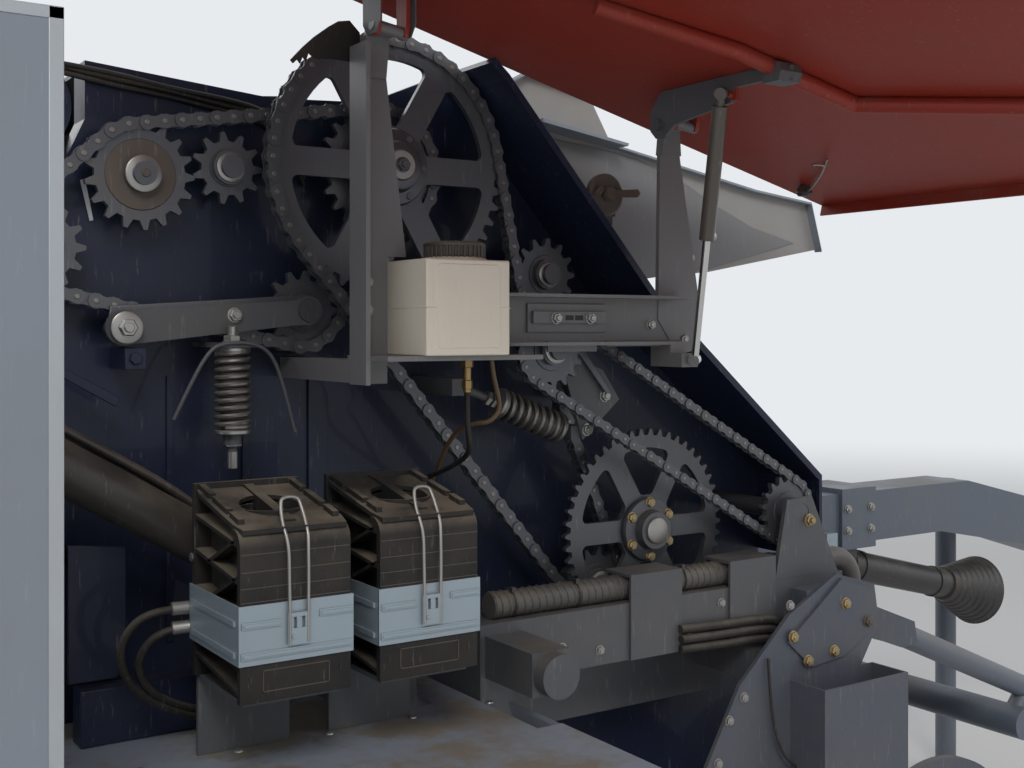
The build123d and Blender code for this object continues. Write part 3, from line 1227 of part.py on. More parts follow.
def ring_plane(x):
    return Plane(origin=(x, 0, RING_Z), x_dir=(0, 1, 0), z_dir=(1, 0, 0))


def ring_carrier():
    """Eight-sided portal that the wrapping ring runs in, with its guide rollers."""
    depth = CARRIER_X[1] - CARRIER_X[0] + 2
    opening = extrude(ring_plane(CARRIER_X[0] - 1) * RegularPolygon(CARRIER_INNER_R, 32), amount=depth)
    frame = cross_plate(octagon(CARRIER_OUTER_R / math.cos(math.pi / 8)), *CARRIER_X) - opening
    guides = []
    for index in range(8):
        angle = math.radians(22.5 + 45.0 * index)
        r = RING_OUTER_R + SEAT + GUIDE_R
        y, z = r * math.cos(angle), RING_Z + r * math.sin(angle)
        guides.append(rod((CARRIER_X[0] + 1.0, y, z), (RING_X[0] + 25.0, y, z), GUIDE_R))
    return fused(frame, guides)


def wrap_ring():
    """Rolled ring with the two film carriers that it takes round the bale."""
    section = Circle(RING_OUTER_R) - Circle(RING_INNER_R)
    ring = extrude(ring_plane(RING_X[0]) * section, amount=RING_X[1] - RING_X[0])
    face_x, end_x = RING_X[0] - 31.0, FILM_FRONT_X - FILM_LENGTH
    arms = []
    for side in (1, -1):
        y = side * FILM_PITCH_R
        plate_front = block(face_x - 15.0, face_x + 1.0, y - 60.0, y + 60.0, RING_Z - 260.0, RING_Z + 150.0)
        neck = block(face_x, RING_X[0] + 1.0, y - 60.0, y + 25.0, RING_Z - 180.0, RING_Z + 60.0)
        spine = block(end_x - 30.0, face_x, y - 20.0, y + 20.0, RING_Z - 250.0, RING_Z - 215.0)
        spindle = rod((face_x, y, RING_Z), (end_x - 12.0, y, RING_Z), 26.0)
        stretch = [
            rod((face_x, y + dy, RING_Z - 175.0), (end_x - 29.0, y + dy, RING_Z - 175.0), 26.0)
            for dy in (-32.0, 32.0)
        ]
        end = block(end_x - 40.0, end_x - 28.0, y - 60.0, y + 60.0, RING_Z - 255.0, RING_Z - 140.0)
        arms.append(fused(plate_front, neck, spine, spindle, stretch, end))
    return fused(ring, arms)


def film_roll(side):
    y = side * FILM_PITCH_R
    start, end = (FILM_FRONT_X, y, RING_Z), (FILM_FRONT_X - FILM_LENGTH, y, RING_Z)
    return rod(start, end, FILM_R) - rod((start[0] + 1, y, RING_Z), (end[0] - 1, y, RING_Z), 26.05)


def table_carrier():
    """Beams under the wrapping table, the ears at its rear axle, and the tray that the bale rolls over."""
    y = CARRIER_BEAM_Y
    beam = block(TABLE_REAR_X - 60.0, -5741.0, y - 35.0, y + 35.0, CARRIER_BEAM[0], CARRIER_BEAM[1])
    ear = side_plate(
        (
            (TABLE_REAR_X - 60.0, CARRIER_BEAM[0]),
            (TABLE_REAR_X + 60.0, CARRIER_BEAM[0]),
            (TABLE_REAR_X + 34.0, TABLE_Z + 34.0),
            (TABLE_REAR_X - 34.0, TABLE_Z + 34.0),
        ),
        434.0,
        450.0,
    )
    ear = ear - cross_rod(TABLE_REAR_X, TABLE_Z, 433.0, 451.0, 25.05)
    return both_sides(fused(beam, ear))


def transfer_tray():
    low, high = AXLE_TUBE_TOP + SEAT + 8.0, CARRIER_BEAM[1] + SEAT + 8.0
    line = (
        (-3890.0, 405.0),
        (-4300.0, 410.0),
        (BOGIE_X + 70.0, low),
        (BOGIE_X - 70.0, low),
        (-5200.0, 560.0),
        (-5640.0, high),
        (-5800.0, high),
    )
    return side_plate(line + tuple((x, z - 8.0) for x, z in line[::-1]), -600.0, 600.0)


def wrap_table():
    arm = side_plate(
        (
            (TABLE_REAR_X - 34.0, TABLE_Z - 34.0),
            (TABLE_FRONT_X + 34.0, TABLE_Z - 34.0),
            (TABLE_FRONT_X + 34.0, TABLE_Z + 34.0),
            (TABLE_REAR_X - 34.0, TABLE_Z + 34.0),
        ),
        *TABLE_ARM,
    )
    arm = arm - cross_rod(TABLE_FRONT_X, TABLE_Z, TABLE_ARM[0] - 1, TABLE_ARM[1] + 1, 25.05)
    arm = arm - cross_rod(TABLE_REAR_X, TABLE_Z, TABLE_ARM[0] - 1, TABLE_ARM[1] + 1, 25.05)
    tie = block(-6480.0, -6400.0, -TABLE_ARM[0] - 1.0, TABLE_ARM[0] + 1.0, TABLE_Z - 34.0, TABLE_Z - 4.0)
    return fused(both_sides(arm), tie)


def table_roller(x, half):
    drum = cross_rod(x, TABLE_Z, -half, half, TABLE_ROLLER_R)
    return fused(drum, cross_rod(x, TABLE_Z, -TABLE_ARM[1], TABLE_ARM[1], 25.0))


def rear_lamps():
    pieces = []
    for side in (1, -1):
        x = DECK_REAR_X - DECK_T - SEAT
        pieces.append(block(x - 40.0, x, side * 1180.0, side * 1440.0, 800.0, 930.0))
    return pieces


def build():
    os.makedirs("parts", exist_ok=True)
    save("chassis_frame", chassis_frame())
    save("drawbar", drawbar())
    save("tow_eye", tow_eye())
    save("jack_leg", jack_leg())
    save("drive_line", drive_line())
    save("chamber_walls", chamber_walls())
    save("chamber_skin", chamber_skin())
    save("chamber_rollers", rollers(FIXED_ROLLER_ANGLES))
    save("net_unit", net_unit())
    save("feeder_sides", feeder_sides())
    save("feed_rotor", feed_rotor())
    save("right_sprockets", [sprocket(name) for name in SPROCKETS if name not in ("inner", "main")],
         fused(sprocket("inner"), sprocket("main")))
    save("right_chains", [chain(*row) for row in CHAINS])
    save("tensioners", tensioners(), bearing_bracket())
    save("hood_frame", both_sides(hood_frame()))
    save("oil_tank", oil_tank())
    save("chocks", chock_bodies())
    save("chock_holders", chock_holders())
    save("hose_run", hose_run())
    save("hose_saddles", hose_saddles())
    save("mudguards", mudguards())
    save("side_guards", side_guards())
    save("bogies", both_sides(bogie()))
    save("rear_lamps", rear_lamps())
    save("ring_carrier", ring_carrier())
    save("table_carrier", table_carrier())
    save("transfer_tray", transfer_tray())
    for label, x in (("front", FRONT_WHEEL_X), ("rear", REAR_WHEEL_X)):
        for side_label, side in (("left", 1), ("right", -1)):
            save(f"tyre_{label}_{side_label}", tyre(x, side * WHEEL_TRACK))
            save(f"rim_{label}_{side_label}", rim(x, side * WHEEL_TRACK, side))
    save("tailgate", gate_shell())
    save("tailgate_rollers", rollers(GATE_ROLLER_ANGLES))
    barrel, bar = cylinder_pair()
    save("gate_barrel_left", barrel)
    save("gate_rod_left", bar)
    save("gate_barrel_right", mirrored(barrel))
    save("gate_rod_right", mirrored(bar))
    save("hood_right", hood_right())
    save("hood_left", mirrored(closed(hood_right())))
    low = (STRUT_LOW[0], -STRUT_LOW[1], STRUT_LOW[2])
    high = (STRUT_HIGH[0], -STRUT_HIGH[1], STRUT_HIGH[2])
    open_length = (Vector(*high) - Vector(*low)).length
    closed_high = tuple(closed(Pos(*high) * Sphere(1.0))[0].center())
    axis = strut_axis(low, high, closed_high)
    right_barrel, right_stem = strut_pair(low, high, open_length, axis)
    save("strut_barrel_right", right_barrel)
    save("strut_stem_right", right_stem)
    left_barrel, left_stem = strut_pair(low, closed_high, open_length, axis)
    save("strut_barrel_left", mirrored(left_barrel))
    save("strut_stem_left", mirrored(left_stem))
    save("pickup_frame", pickup_frame())
    save("pickup_reel", pickup_reel())
    save("gauge_wheel_left", gauge_wheel())
    save("gauge_wheel_right", mirrored(gauge_wheel()))
    save("wind_guard", wind_guard())
    save("wrap_ring", wrap_ring())
    save("film_roll_left", film_roll(1))
    save("film_roll_right", film_roll(-1))
    save("wrap_table", wrap_table())
    save("table_roller_front", table_roller(TABLE_FRONT_X, TABLE_ARM[0] - 6.0))
    save("table_roller_rear", table_roller(TABLE_REAR_X, 426.0))


if __name__ == "__main__":
    build()
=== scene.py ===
import math

import bmesh
import bpy
from bpy.props import FloatProperty, FloatVectorProperty, PointerProperty
from bpy.types import Operator, Panel, PropertyGroup
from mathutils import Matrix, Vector


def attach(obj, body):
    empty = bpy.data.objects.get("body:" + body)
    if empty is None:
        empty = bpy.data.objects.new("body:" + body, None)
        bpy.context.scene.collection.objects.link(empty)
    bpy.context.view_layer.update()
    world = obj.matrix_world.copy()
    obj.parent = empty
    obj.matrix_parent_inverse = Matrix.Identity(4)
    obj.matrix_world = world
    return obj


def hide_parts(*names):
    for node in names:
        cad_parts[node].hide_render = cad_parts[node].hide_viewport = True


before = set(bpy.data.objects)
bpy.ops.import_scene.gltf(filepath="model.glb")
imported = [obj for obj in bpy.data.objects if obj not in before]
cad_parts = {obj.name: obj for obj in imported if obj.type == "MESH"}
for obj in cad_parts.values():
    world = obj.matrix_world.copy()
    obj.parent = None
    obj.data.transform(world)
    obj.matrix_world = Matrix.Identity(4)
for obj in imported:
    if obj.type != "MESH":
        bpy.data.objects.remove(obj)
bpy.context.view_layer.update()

bl_info = {
    "name": "Baler wrapper",
    "version": (1, 0, 0),
    "blender": (4, 5, 0),
    "location": "3D View > Sidebar > Baler",
    "description": "Dresses the baler wrapper's CAD frame with its fittings, finishes and stage",
    "category": "Object",
}

# The drawings measure in millimetres from the ground; the towing eye's centre is this far above it
EYE_HEIGHT = 850
CHASSIS = "chassis"
# The way that the right-hand side's faces look, on the drawings
OUT = (0, -1, 0)
# Edges turned by more than this, in degrees, are shaded sharp
SHARP_ANGLE = 35

# Chain drives: the two pitches, and how far right of the middle each chain's plane lies
HEAVY_PITCH = 31.75
FINE_PITCH = 25.4
ROLLER_PLANE = 755
MAIN_PLANE = 797
LOWER_PLANE = 845
FRONT_PLANE = 930
# Name: x, z, teeth, pitch, plane
SPROCKETS = {
    "gable": (-4023, 1944, 17, HEAVY_PITCH, ROLLER_PLANE),
    "rear": (-4187, 1816, 13, HEAVY_PITCH, ROLLER_PLANE),
    "deep": (-3869, 1966, 11, HEAVY_PITCH, ROLLER_PLANE),
    "inner": (-3566, 1984, 23, HEAVY_PITCH, ROLLER_PLANE),
    "slack": (-3726, 1715, 13, HEAVY_PITCH, ROLLER_PLANE),
    "main": (-3566, 1984, 47, HEAVY_PITCH, MAIN_PLANE),
    "driver": (-3085, 1154, 13, HEAVY_PITCH, MAIN_PLANE),
    "idler": (-3216, 1792, 13, HEAVY_PITCH, MAIN_PLANE),
    "lower": (-2991, 1265, 50, FINE_PITCH, LOWER_PLANE),
    "front": (-2665, 1287, 17, FINE_PITCH, FRONT_PLANE),
    "upper": (-3293, 1643, 17, FINE_PITCH, FRONT_PLANE),
}
# Plane, pitch, and the sprockets passed, with -1 where the chain bends round one from outside
CHAINS = (
    (ROLLER_PLANE, HEAVY_PITCH, (("inner", 1), ("gable", 1), ("rear", 1), ("slack", 1))),
    (MAIN_PLANE, HEAVY_PITCH, (("main", 1), ("driver", 1), ("idler", -1))),
    (FRONT_PLANE, FINE_PITCH, (("front", 1), ("upper", 1))),
)


def place(x, y, z):
    """A point of the drawings in the row frame, in metres."""
    return Vector((x, y, z - EYE_HEIGHT)) / 1000


# Mesh building


def finish_named(name):
    """A finish made here; the frame's own materials share some of the plain names."""
    return bpy.data.materials["field " + name]


def circle(sides):
    """Evenly spaced angles of one full turn."""
    return [2 * math.pi * i / sides for i in range(sides)]


def square_to(way):
    """Two directions square to a line and to each other."""
    u = way.orthogonal().normalized()
    return u, way.cross(u)


class Shape:
    """Collects closed forms in the drawings' millimetres and turns them into one object."""

    def __init__(self):
        self.verts = []
        self.faces = []

    def add(self, verts, faces):
        base = len(self.verts)
        self.verts += [Vector(v) for v in verts]
        self.faces += [[base + i for i in face] for face in faces]
        return self

    def loft(self, rings, closed=False):
        """Skins rings of the same number of points, with a cap at each end unless the run is closed."""
        count = len(rings[0])
        verts = [p for ring in rings for p in ring]
        faces = []
        spans = len(rings) if closed else len(rings) - 1
        for i in range(spans):
            a, b = i * count, ((i + 1) % len(rings)) * count
            faces += [[a + j, a + (j + 1) % count, b + (j + 1) % count, b + j] for j in range(count)]
        if not closed:
            faces.append(list(range(count))[::-1])
            faces.append([(len(rings) - 1) * count + j for j in range(count)])
        return self.add(verts, faces)

    def box(self, x0, x1, y0, y1, z0, z1):
        ring = ((x0, y0), (x1, y0), (x1, y1), (x0, y1))
        return self.loft([[(x, y, z0) for x, y in ring], [(x, y, z1) for x, y in ring]])

    def side(self, points, y0, y1):
        """An outline in X and Z made solid between two values of Y."""
        return self.loft([[(x, y, z) for x, z in points] for y in (y0, y1)])

    def cross(self, points, x0, x1):
        """An outline in Y and Z made solid between two values of X."""
        return self.loft([[(x, y, z) for y, z in points] for x in (x0, x1)])

    def turned(self, start, end, profile, sides=24, hollow=False):
        """A turned form along a line: profile is distance along it and radius, pair by pair."""
        a = Vector(start)
        way = (Vector(end) - a).normalized()
        u, v = square_to(way)
        rings = []
        turn = circle(sides)
        for along, radius in profile:
            centre = a + way * along
            rings.append([centre + u * (radius * math.cos(t)) + v * (radius * math.sin(t)) for t in turn])
        return self.loft(rings, closed=hollow)

    def hoop(self, start, end, profile, sides=32):
        """A hollow turned form: the profile runs right round the section."""
        return self.turned(start, end, profile, sides, hollow=True)

    def rod(self, start, end, radius, sides=18):
        """A round bar with its two edges broken."""
        length = (Vector(end) - Vector(start)).length
        edge = min(radius * 0.12, length * 0.2)
        profile = ((0, radius - edge), (edge, radius), (length - edge, radius), (length, radius - edge))
        return self.turned(start, end, profile, sides)

    def tube(self, points, radius, sides=12, closed=False):
        """A round wire or hose along points."""
        points = [Vector(p) for p in points]
        count = len(points)
        rings, normal, turn = [], None, circle(sides)
        for i, p in enumerate(points):
            before = points[(i - 1) % count] if closed or i else points[0]
            after = points[(i + 1) % count] if closed or i < count - 1 else points[-1]
            way = (after - before).normalized()
            normal = way.orthogonal() if normal is None else normal - way * normal.dot(way)
            normal.normalize()
            side = way.cross(normal)
            rings.append([p + normal * (radius * math.cos(t)) + side * (radius * math.sin(t)) for t in turn])
        return self.loft(rings, closed)

    def bolt(self, point, way, size, washer=True, length=0):
        """A hexagon head on its washer, standing on a face at point."""
        p, way = Vector(point), Vector(way).normalized()
        u, v = square_to(way)
        base = 0
        if washer:
            self.turned(p, p + way, ((0, size * 1.05), (size * 0.14, size * 1.05), (size * 0.16, size)), 20)
            base = size * 0.15
        rings = []
        for along, reach in ((base, 0.92), (base + size * 0.5, 0.92), (base + size * 0.6, 0.80)):
            turn = [math.pi / 3 * i + size for i in range(6)]
            rings.append([p + way * along + (u * math.cos(t) + v * math.sin(t)) * size * reach for t in turn])
        self.loft(rings)
        if length:
            self.rod(p, p + way * (size * 0.6 + length), size * 0.5, 12)
        return self

    def rivet(self, point, way, radius):
        """A low round head, standing on a face at point."""
        profile = ((0, radius), (radius * 0.25, radius * 0.9), (radius * 0.5, radius * 0.5))
        return self.turned(point, Vector(point) + Vector(way), profile, 10)

    def mirrored(self):
        """Adds the same forms on the machine's other side."""
        count = len(self.verts)
        self.verts += [Vector((v.x, -v.y, v.z)) for v in self.verts]
        self.faces += [[count + i for i in face[::-1]] for face in self.faces]
        return self

    def make(self, name, material, body=CHASSIS, bevel=0, *, slot):
        """Makes the object, with its edges rounded by bevel."""
        mesh = bpy.data.meshes.new(name)
        mesh.from_pydata([place(*v) for v in self.verts], [], self.faces)
        mesh.validate()
        outward(mesh)
        mesh.shade_smooth()
        mesh.set_sharp_from_angle(angle=math.radians(SHARP_ANGLE))
        piece = fitted(name, mesh, material, body)
        if bevel:
            round_edges(piece, bevel / 1000, 2)
        return piece


def fitted(name, data, material, body):
    """Makes a piece of a mesh or curve, gives it its finish and sets it riding on its body."""
    data.materials.append(finish_named(material))
    piece = bpy.data.objects.new(name, data)
    bpy.context.scene.collection.objects.link(piece)
    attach(piece, body)
    return piece


def round_edges(piece, width, segments):
    edge = piece.modifiers.new("Edges", "BEVEL")
    edge.width, edge.segments, edge.limit_method = width, segments, "ANGLE"


def outward(mesh):
    """Turns every face's normal to the outside."""
    work = bmesh.new()
    work.from_mesh(mesh)
    bmesh.ops.recalc_face_normals(work, faces=work.faces)
    work.to_mesh(mesh)
    work.free()


def strand(name, material, diameter, routes, body=CHASSIS, *, slot):
    """Wires, cables or hoses as smooth curves, one spline for each route of points."""
    curve = bpy.data.curves.new(name, "CURVE")
    curve.dimensions = "3D"
    curve.bevel_depth = diameter / 2000
    curve.bevel_resolution = 3
    curve.use_fill_caps = True
    for route in routes:
        spline = curve.splines.new("NURBS")
        spline.points.add(len(route) - 1)
        for point, where in zip(spline.points, route):
            point.co = (*place(*where), 1)
        spline.order_u = 3
        spline.use_endpoint_u = True
    return fitted(name, curve, material, body)


# Finishes


def wire(tree, node, socket, source):
    """Links a node's socket to an output, or sets it to a value."""
    if hasattr(source, "is_output"):
        tree.links.new(source, node.inputs[socket])
    else:
        node.inputs[socket].default_value = source


def add_node(tree, kind, sockets=(), **settings):
    """A new node with its settings, and what goes into its sockets."""
    node = tree.nodes.new(kind)
    for key, value in settings.items():
        setattr(node, key, value)
    for socket, source in dict(sockets).items():
        wire(tree, node, socket, source)
    return node


def noise(tree, coord, scale, detail, rough):
    sockets = {"Vector": coord, "Scale": scale, "Detail": detail, "Roughness": rough}
    return add_node(tree, "ShaderNodeTexNoise", sockets).outputs["Fac"]


def step_mask(tree, value, low, high):
    sockets = {"Value": value, "From Min": low, "From Max": high}
    return add_node(tree, "ShaderNodeMapRange", sockets, interpolation_type="SMOOTHSTEP").outputs["Result"]


def calc(tree, operation, a, b):
    return add_node(tree, "ShaderNodeMath", {0: a, 1: b}, operation=operation).outputs[0]


def times(tree, a, b):
    return calc(tree, "MULTIPLY", a, b)


def plus(tree, a, b):
    return calc(tree, "ADD", a, b)


def mix_colour(tree, factor, a, b):
    return add_node(tree, "ShaderNodeMix", {"Factor": factor, 6: a, 7: b}, data_type="RGBA").outputs[2]


def mix_shader(tree, factor, a, b):
    return add_node(tree, "ShaderNodeMixShader", {0: factor, 1: a, 2: b}).outputs[0]


WEAR_SOCKETS = (
    ("INPUT", "NodeSocketColor", ("Paint", "Rust colour", "Dust colour")),
    ("INPUT", "NodeSocketFloat", ("Rust", "Dust", "Grain", "Sides")),
    ("OUTPUT", "NodeSocketColor", ("Colour",)),
    ("OUTPUT", "NodeSocketFloat", ("Wear", "Dirt", "Height")),
)
# Where rust starts, how far a finish's own share of it moves that, and how soft its edge is
RUST_START, RUST_REACH, RUST_EDGE = 0.72, 0.34, 0.06
# Dust on faces that look up, in clouds over a thin film; the most that a point carries; its tint of the paint
DUST_UP, DUST_CLOUD, DUST_FILM, DUST_MOST, DUST_TINT = 0.95, 1.25, 0.12, 0.92, 0.16
SCUFFS, SCUFF_GREY = 0.16, (0.42, 0.42, 0.42, 1)
# Runs are drawn out to this share of their width in height
RUN_STRETCH = 0.12
# How far grain and dirt stand out, and rust lies in
GRAIN_RELIEF, DIRT_RELIEF, RUST_RELIEF = 0.35, 0.3, 0.4


def weather_group():
    """Field wear: rust patches, settled dust and runs, from one surface colour."""
    tree = bpy.data.node_groups.new("Field wear", "ShaderNodeTree")
    for way, kind, names in WEAR_SOCKETS:
        for name in names:
            tree.interface.new_socket(name=name, in_out=way, socket_type=kind)
    given = add_node(tree, "NodeGroupInput").outputs
    coord = add_node(tree, "ShaderNodeTexCoord").outputs["Object"]
    normal = add_node(tree, "ShaderNodeNewGeometry").outputs["Normal"]
    split = add_node(tree, "ShaderNodeSeparateXYZ", {0: normal})
    stretch = add_node(tree, "ShaderNodeMapping", {"Vector": coord, "Scale": (1, 1, RUN_STRETCH)})
    drawn_out = stretch.outputs["Vector"]
    patches = noise(tree, coord, 5, 6, 0.62)
    spots = noise(tree, coord, 38, 6, 0.7)
    grain = noise(tree, coord, given["Grain"], 3, 0.6)
    runs = noise(tree, drawn_out, 26, 4, 0.6)
    streaks = noise(tree, drawn_out, 120, 3, 0.7)
    blend = plus(tree, times(tree, patches, 0.5), times(tree, spots, 0.5))
    limit = calc(tree, "SUBTRACT", RUST_START, times(tree, given["Rust"], RUST_REACH))
    worn = step_mask(tree, blend, limit, plus(tree, limit, RUST_EDGE))
    upward = step_mask(tree, split.outputs["Z"], -0.2, 1)
    settle = plus(tree, times(tree, upward, DUST_UP), times(tree, runs, given["Sides"]))
    cloud = times(tree, step_mask(tree, patches, 0.40, 0.66), DUST_CLOUD)
    film = times(tree, settle, plus(tree, cloud, DUST_FILM))
    dirt = calc(tree, "MINIMUM", times(tree, film, given["Dust"]), DUST_MOST)
    fine = times(tree, times(tree, grain, given["Dust"]), DUST_TINT)
    tint = mix_colour(tree, fine, given["Paint"], given["Dust colour"])
    scuffs = times(tree, step_mask(tree, streaks, 0.60, 0.70), SCUFFS)
    shade = mix_colour(tree, scuffs, tint, SCUFF_GREY)
    rusted = mix_colour(tree, worn, shade, given["Rust colour"])
    height = plus(tree, times(tree, grain, GRAIN_RELIEF), times(tree, dirt, DIRT_RELIEF))
    add_node(tree, "NodeGroupOutput", {
        "Colour": mix_colour(tree, dirt, rusted, given["Dust colour"]),
        "Wear": worn,
        "Dirt": dirt,
        "Height": calc(tree, "SUBTRACT", height, times(tree, worn, RUST_RELIEF)),
    })
    return tree


RUST = (0.150, 0.066, 0.034, 1)
DUST = (0.215, 0.185, 0.140, 1)
# Columns: colour, roughness, metal, rust, dust, grain, bump, coat
FINISHES = {
    "frame_paint": ((0.084, 0.090, 0.102), 0.44, 0, 0.22, 0.34, 210, 0.25, 0),
    "post_paint": ((0.188, 0.190, 0.200), 0.42, 0, 0.20, 0.34, 210, 0.25, 0),
    "wall_paint": ((0.0120, 0.0190, 0.0480), 0.38, 0, 0.08, 0.11, 240, 0.2, 0.1),
    "rim_edge_paint": ((0.016, 0.017, 0.021), 0.36, 0, 0.10, 0.16, 240, 0.2, 0.1),
    # The deck and mudguards: dark blue-grey paint made lighter with painted sky light and sky reflection
    "deck_paint_and_sky_light": ((0.300, 0.350, 0.430), 0.34, 0, 0.34, 0.84, 200, 0.35, 0),
    "drawbar_paint": ((0.120, 0.145, 0.188), 0.40, 0, 0.20, 0.34, 200, 0.25, 0),
    "panel_paint": ((0.235, 0.272, 0.325), 0.30, 0, 0.10, 0.36, 220, 0.15, 0.2),
    "nose_paint": ((0.310, 0.300, 0.288), 0.45, 0, 0.14, 0.40, 220, 0.15, 0),
    "plate_paint": ((0.078, 0.092, 0.120), 0.40, 0, 0.22, 0.34, 210, 0.25, 0),
    "hood_paint": ((0.330, 0.034, 0.020), 0.44, 0, 0.06, 0.26, 230, 0.12, 0),
    "greasy_steel": ((0.110, 0.116, 0.132), 0.38, 0.55, 0.20, 0.26, 260, 0.4, 0),
    "worn_steel": ((0.240, 0.225, 0.205), 0.38, 0.8, 0.30, 0.34, 300, 0.2, 0),
    "rusty_steel": ((0.120, 0.098, 0.084), 0.60, 0.3, 0.40, 0.30, 220, 0.6, 0),
    "galvanised": ((0.357, 0.435, 0.490), 0.42, 0.45, 0.03, 0.20, 60, 0.1, 0),
    "chrome": ((0.62, 0.62, 0.61), 0.14, 1, 0.02, 0.14, 300, 0.02, 0),
    "cylinder_paint": ((0.040, 0.036, 0.033), 0.38, 0, 0.16, 0.34, 220, 0.2, 0),
    "strut_paint": ((0.105, 0.090, 0.074), 0.32, 0, 0.06, 0.30, 240, 0.05, 0.2),
    "zinc_yellow": ((0.40, 0.30, 0.16), 0.38, 0.75, 0.16, 0.30, 300, 0.1, 0),
    "bright_zinc": ((0.36, 0.355, 0.34), 0.34, 0.8, 0.16, 0.30, 300, 0.1, 0),
    "tank_plastic": ((0.880, 0.820, 0.690), 0.38, 0, 0, 0.16, 14, 0.05, 0),
    "black_plastic": ((0.030, 0.030, 0.034), 0.42, 0, 0, 0.34, 320, 0.15, 0),
    "chock_plastic": ((0.0100, 0.0112, 0.0145), 0.40, 0, 0, 0.66, 320, 0.15, 0),
    "cap_plastic": ((0.052, 0.042, 0.034), 0.46, 0, 0, 0.50, 320, 0.15, 0),
    # Lighter strips on the side guards' front and top edges: painted highlight
    "edge_highlight": ((0.440, 0.475, 0.510), 0.34, 0.3, 0.12, 0.24, 240, 0.1, 0),
    "hose_rubber": ((0.016, 0.016, 0.017), 0.50, 0, 0, 0.42, 900, 0.2, 0),
    "sleeve": ((0.085, 0.082, 0.080), 0.46, 0, 0, 0.48, 500, 0.3, 0),
    "tyre_rubber": ((0.020, 0.020, 0.021), 0.72, 0, 0, 0.60, 420, 0.35, 0),
    "rim_paint": ((0.40, 0.40, 0.38), 0.42, 0, 0.20, 0.40, 220, 0.12, 0.1),
    "film": ((0.020, 0.036, 0.026), 0.22, 0, 0, 0.10, 500, 0.1, 0.4),
    "card": ((0.36, 0.27, 0.17), 0.8, 0, 0, 0.15, 300, 0.1, 0),
    "brass": ((0.36, 0.24, 0.10), 0.36, 0.85, 0.10, 0.30, 300, 0.05, 0),
    "pipe_brown": ((0.150, 0.090, 0.040), 0.40, 0, 0, 0.25, 300, 0.05, 0),
    "lamp_red": ((0.45, 0.012, 0.010), 0.18, 0, 0, 0.15, 300, 0.02, 0.6),
    "lamp_amber": ((0.75, 0.22, 0.02), 0.18, 0, 0, 0.15, 300, 0.02, 0.6),
    "daylight_gap": ((0.62, 0.66, 0.70), 0.6, 0, 0, 0, 300, 0, 0),
}

# Share of the dust that also clings to upright faces, where it isn't the usual one
USUAL_SIDE_DUST = 0.42
SIDE_DUST = {"chock_plastic": 0.06, "tank_plastic": 0.24, "wall_paint": 0.30}

# Specular level, where it isn't the usual one
USUAL_SHEEN = 0.5
SHEEN = {
    "chock_plastic": 0.18, "wall_paint": 0.28, "hose_rubber": 0.3, "hood_paint": 0.35, "tyre_rubber": 0.3,
}


# Roughness where dust or rust covers a finish, and the depth of its bumps in metres
COVERED_ROUGH = 0.82
BUMP_DEPTH = 0.0015


def make_finish(name, group):
    """One finish: field wear over its colour, duller where it is covered."""
    colour, rough, metal, rust, dust, grain, bump, coat = FINISHES[name]
    material = bpy.data.materials.new("field " + name)
    material.use_nodes = True
    tree = material.node_tree
    shader = tree.nodes["Principled BSDF"]
    wear = add_node(tree, "ShaderNodeGroup", node_tree=group)
    for socket, value in (
        ("Paint", (*colour, 1)), ("Rust colour", RUST), ("Dust colour", DUST), ("Rust", rust), ("Dust", dust),
        ("Grain", grain), ("Sides", SIDE_DUST.get(name, USUAL_SIDE_DUST)),
    ):
        wire(tree, wear, socket, value)
    covered = calc(tree, "MAXIMUM", wear.outputs["Wear"], wear.outputs["Dirt"])
    ramp = add_node(tree, "ShaderNodeMapRange", {
        "Value": covered, "To Min": rough, "To Max": max(rough, COVERED_ROUGH),
    })
    relief = add_node(tree, "ShaderNodeBump", {
        "Strength": bump, "Distance": BUMP_DEPTH, "Height": wear.outputs["Height"],
    })
    wire(tree, shader, "Base Color", wear.outputs["Colour"])
    wire(tree, shader, "Roughness", ramp.outputs["Result"])
    wire(tree, shader, "Normal", relief.outputs["Normal"])
    wire(tree, shader, "Coat Weight", coat)
    wire(tree, shader, "Specular IOR Level", SHEEN.get(name, USUAL_SHEEN))
    if metal:
        wire(tree, shader, "Metallic", times(tree, calc(tree, "SUBTRACT", 1, covered), metal))


NODE_FINISHES = {
    "frame_paint": (
        "chassis_frame", "bogies", "ring_carrier", "table_carrier", "tensioners", "wrap_table",
        "transfer_tray", "hose_saddles", "wrap_ring", "chock_holders",
    ),
    "post_paint": ("hood_frame",),
    "drawbar_paint": ("drawbar", "wind_guard", "jack_leg"),
    "wall_paint": ("chamber_walls", "tailgate"),
    "rim_edge_paint": ("chamber_skin",),
    "deck_paint_and_sky_light": ("mudguards",),
    "panel_paint": ("side_guards",),
    "nose_paint": ("net_unit",),
    "plate_paint": ("feeder_sides", "pickup_frame"),
    "hood_paint": ("hood_right", "hood_left"),
    "greasy_steel": ("right_sprockets", "right_chains"),
    "worn_steel": (
        "tow_eye", "chamber_rollers", "tailgate_rollers", "feed_rotor", "pickup_reel", "table_roller_front",
        "table_roller_rear",
    ),
    "chrome": ("gate_rod_left", "gate_rod_right", "strut_stem_left", "strut_stem_right"),
    "cylinder_paint": ("gate_barrel_left", "gate_barrel_right"),
    "strut_paint": ("strut_barrel_left", "strut_barrel_right"),
    "tank_plastic": ("oil_tank",),
    "black_plastic": ("chocks", "drive_line"),
    "sleeve": ("hose_run",),
    "tyre_rubber": (
        "tyre_front_left", "tyre_front_right", "tyre_rear_left", "tyre_rear_right", "gauge_wheel_left",
        "gauge_wheel_right",
    ),
    "rim_paint": ("rim_front_left", "rim_front_right", "rim_rear_left", "rim_rear_right"),
    "film": ("film_roll_left", "film_roll_right"),
    "lamp_red": ("rear_lamps",),
}


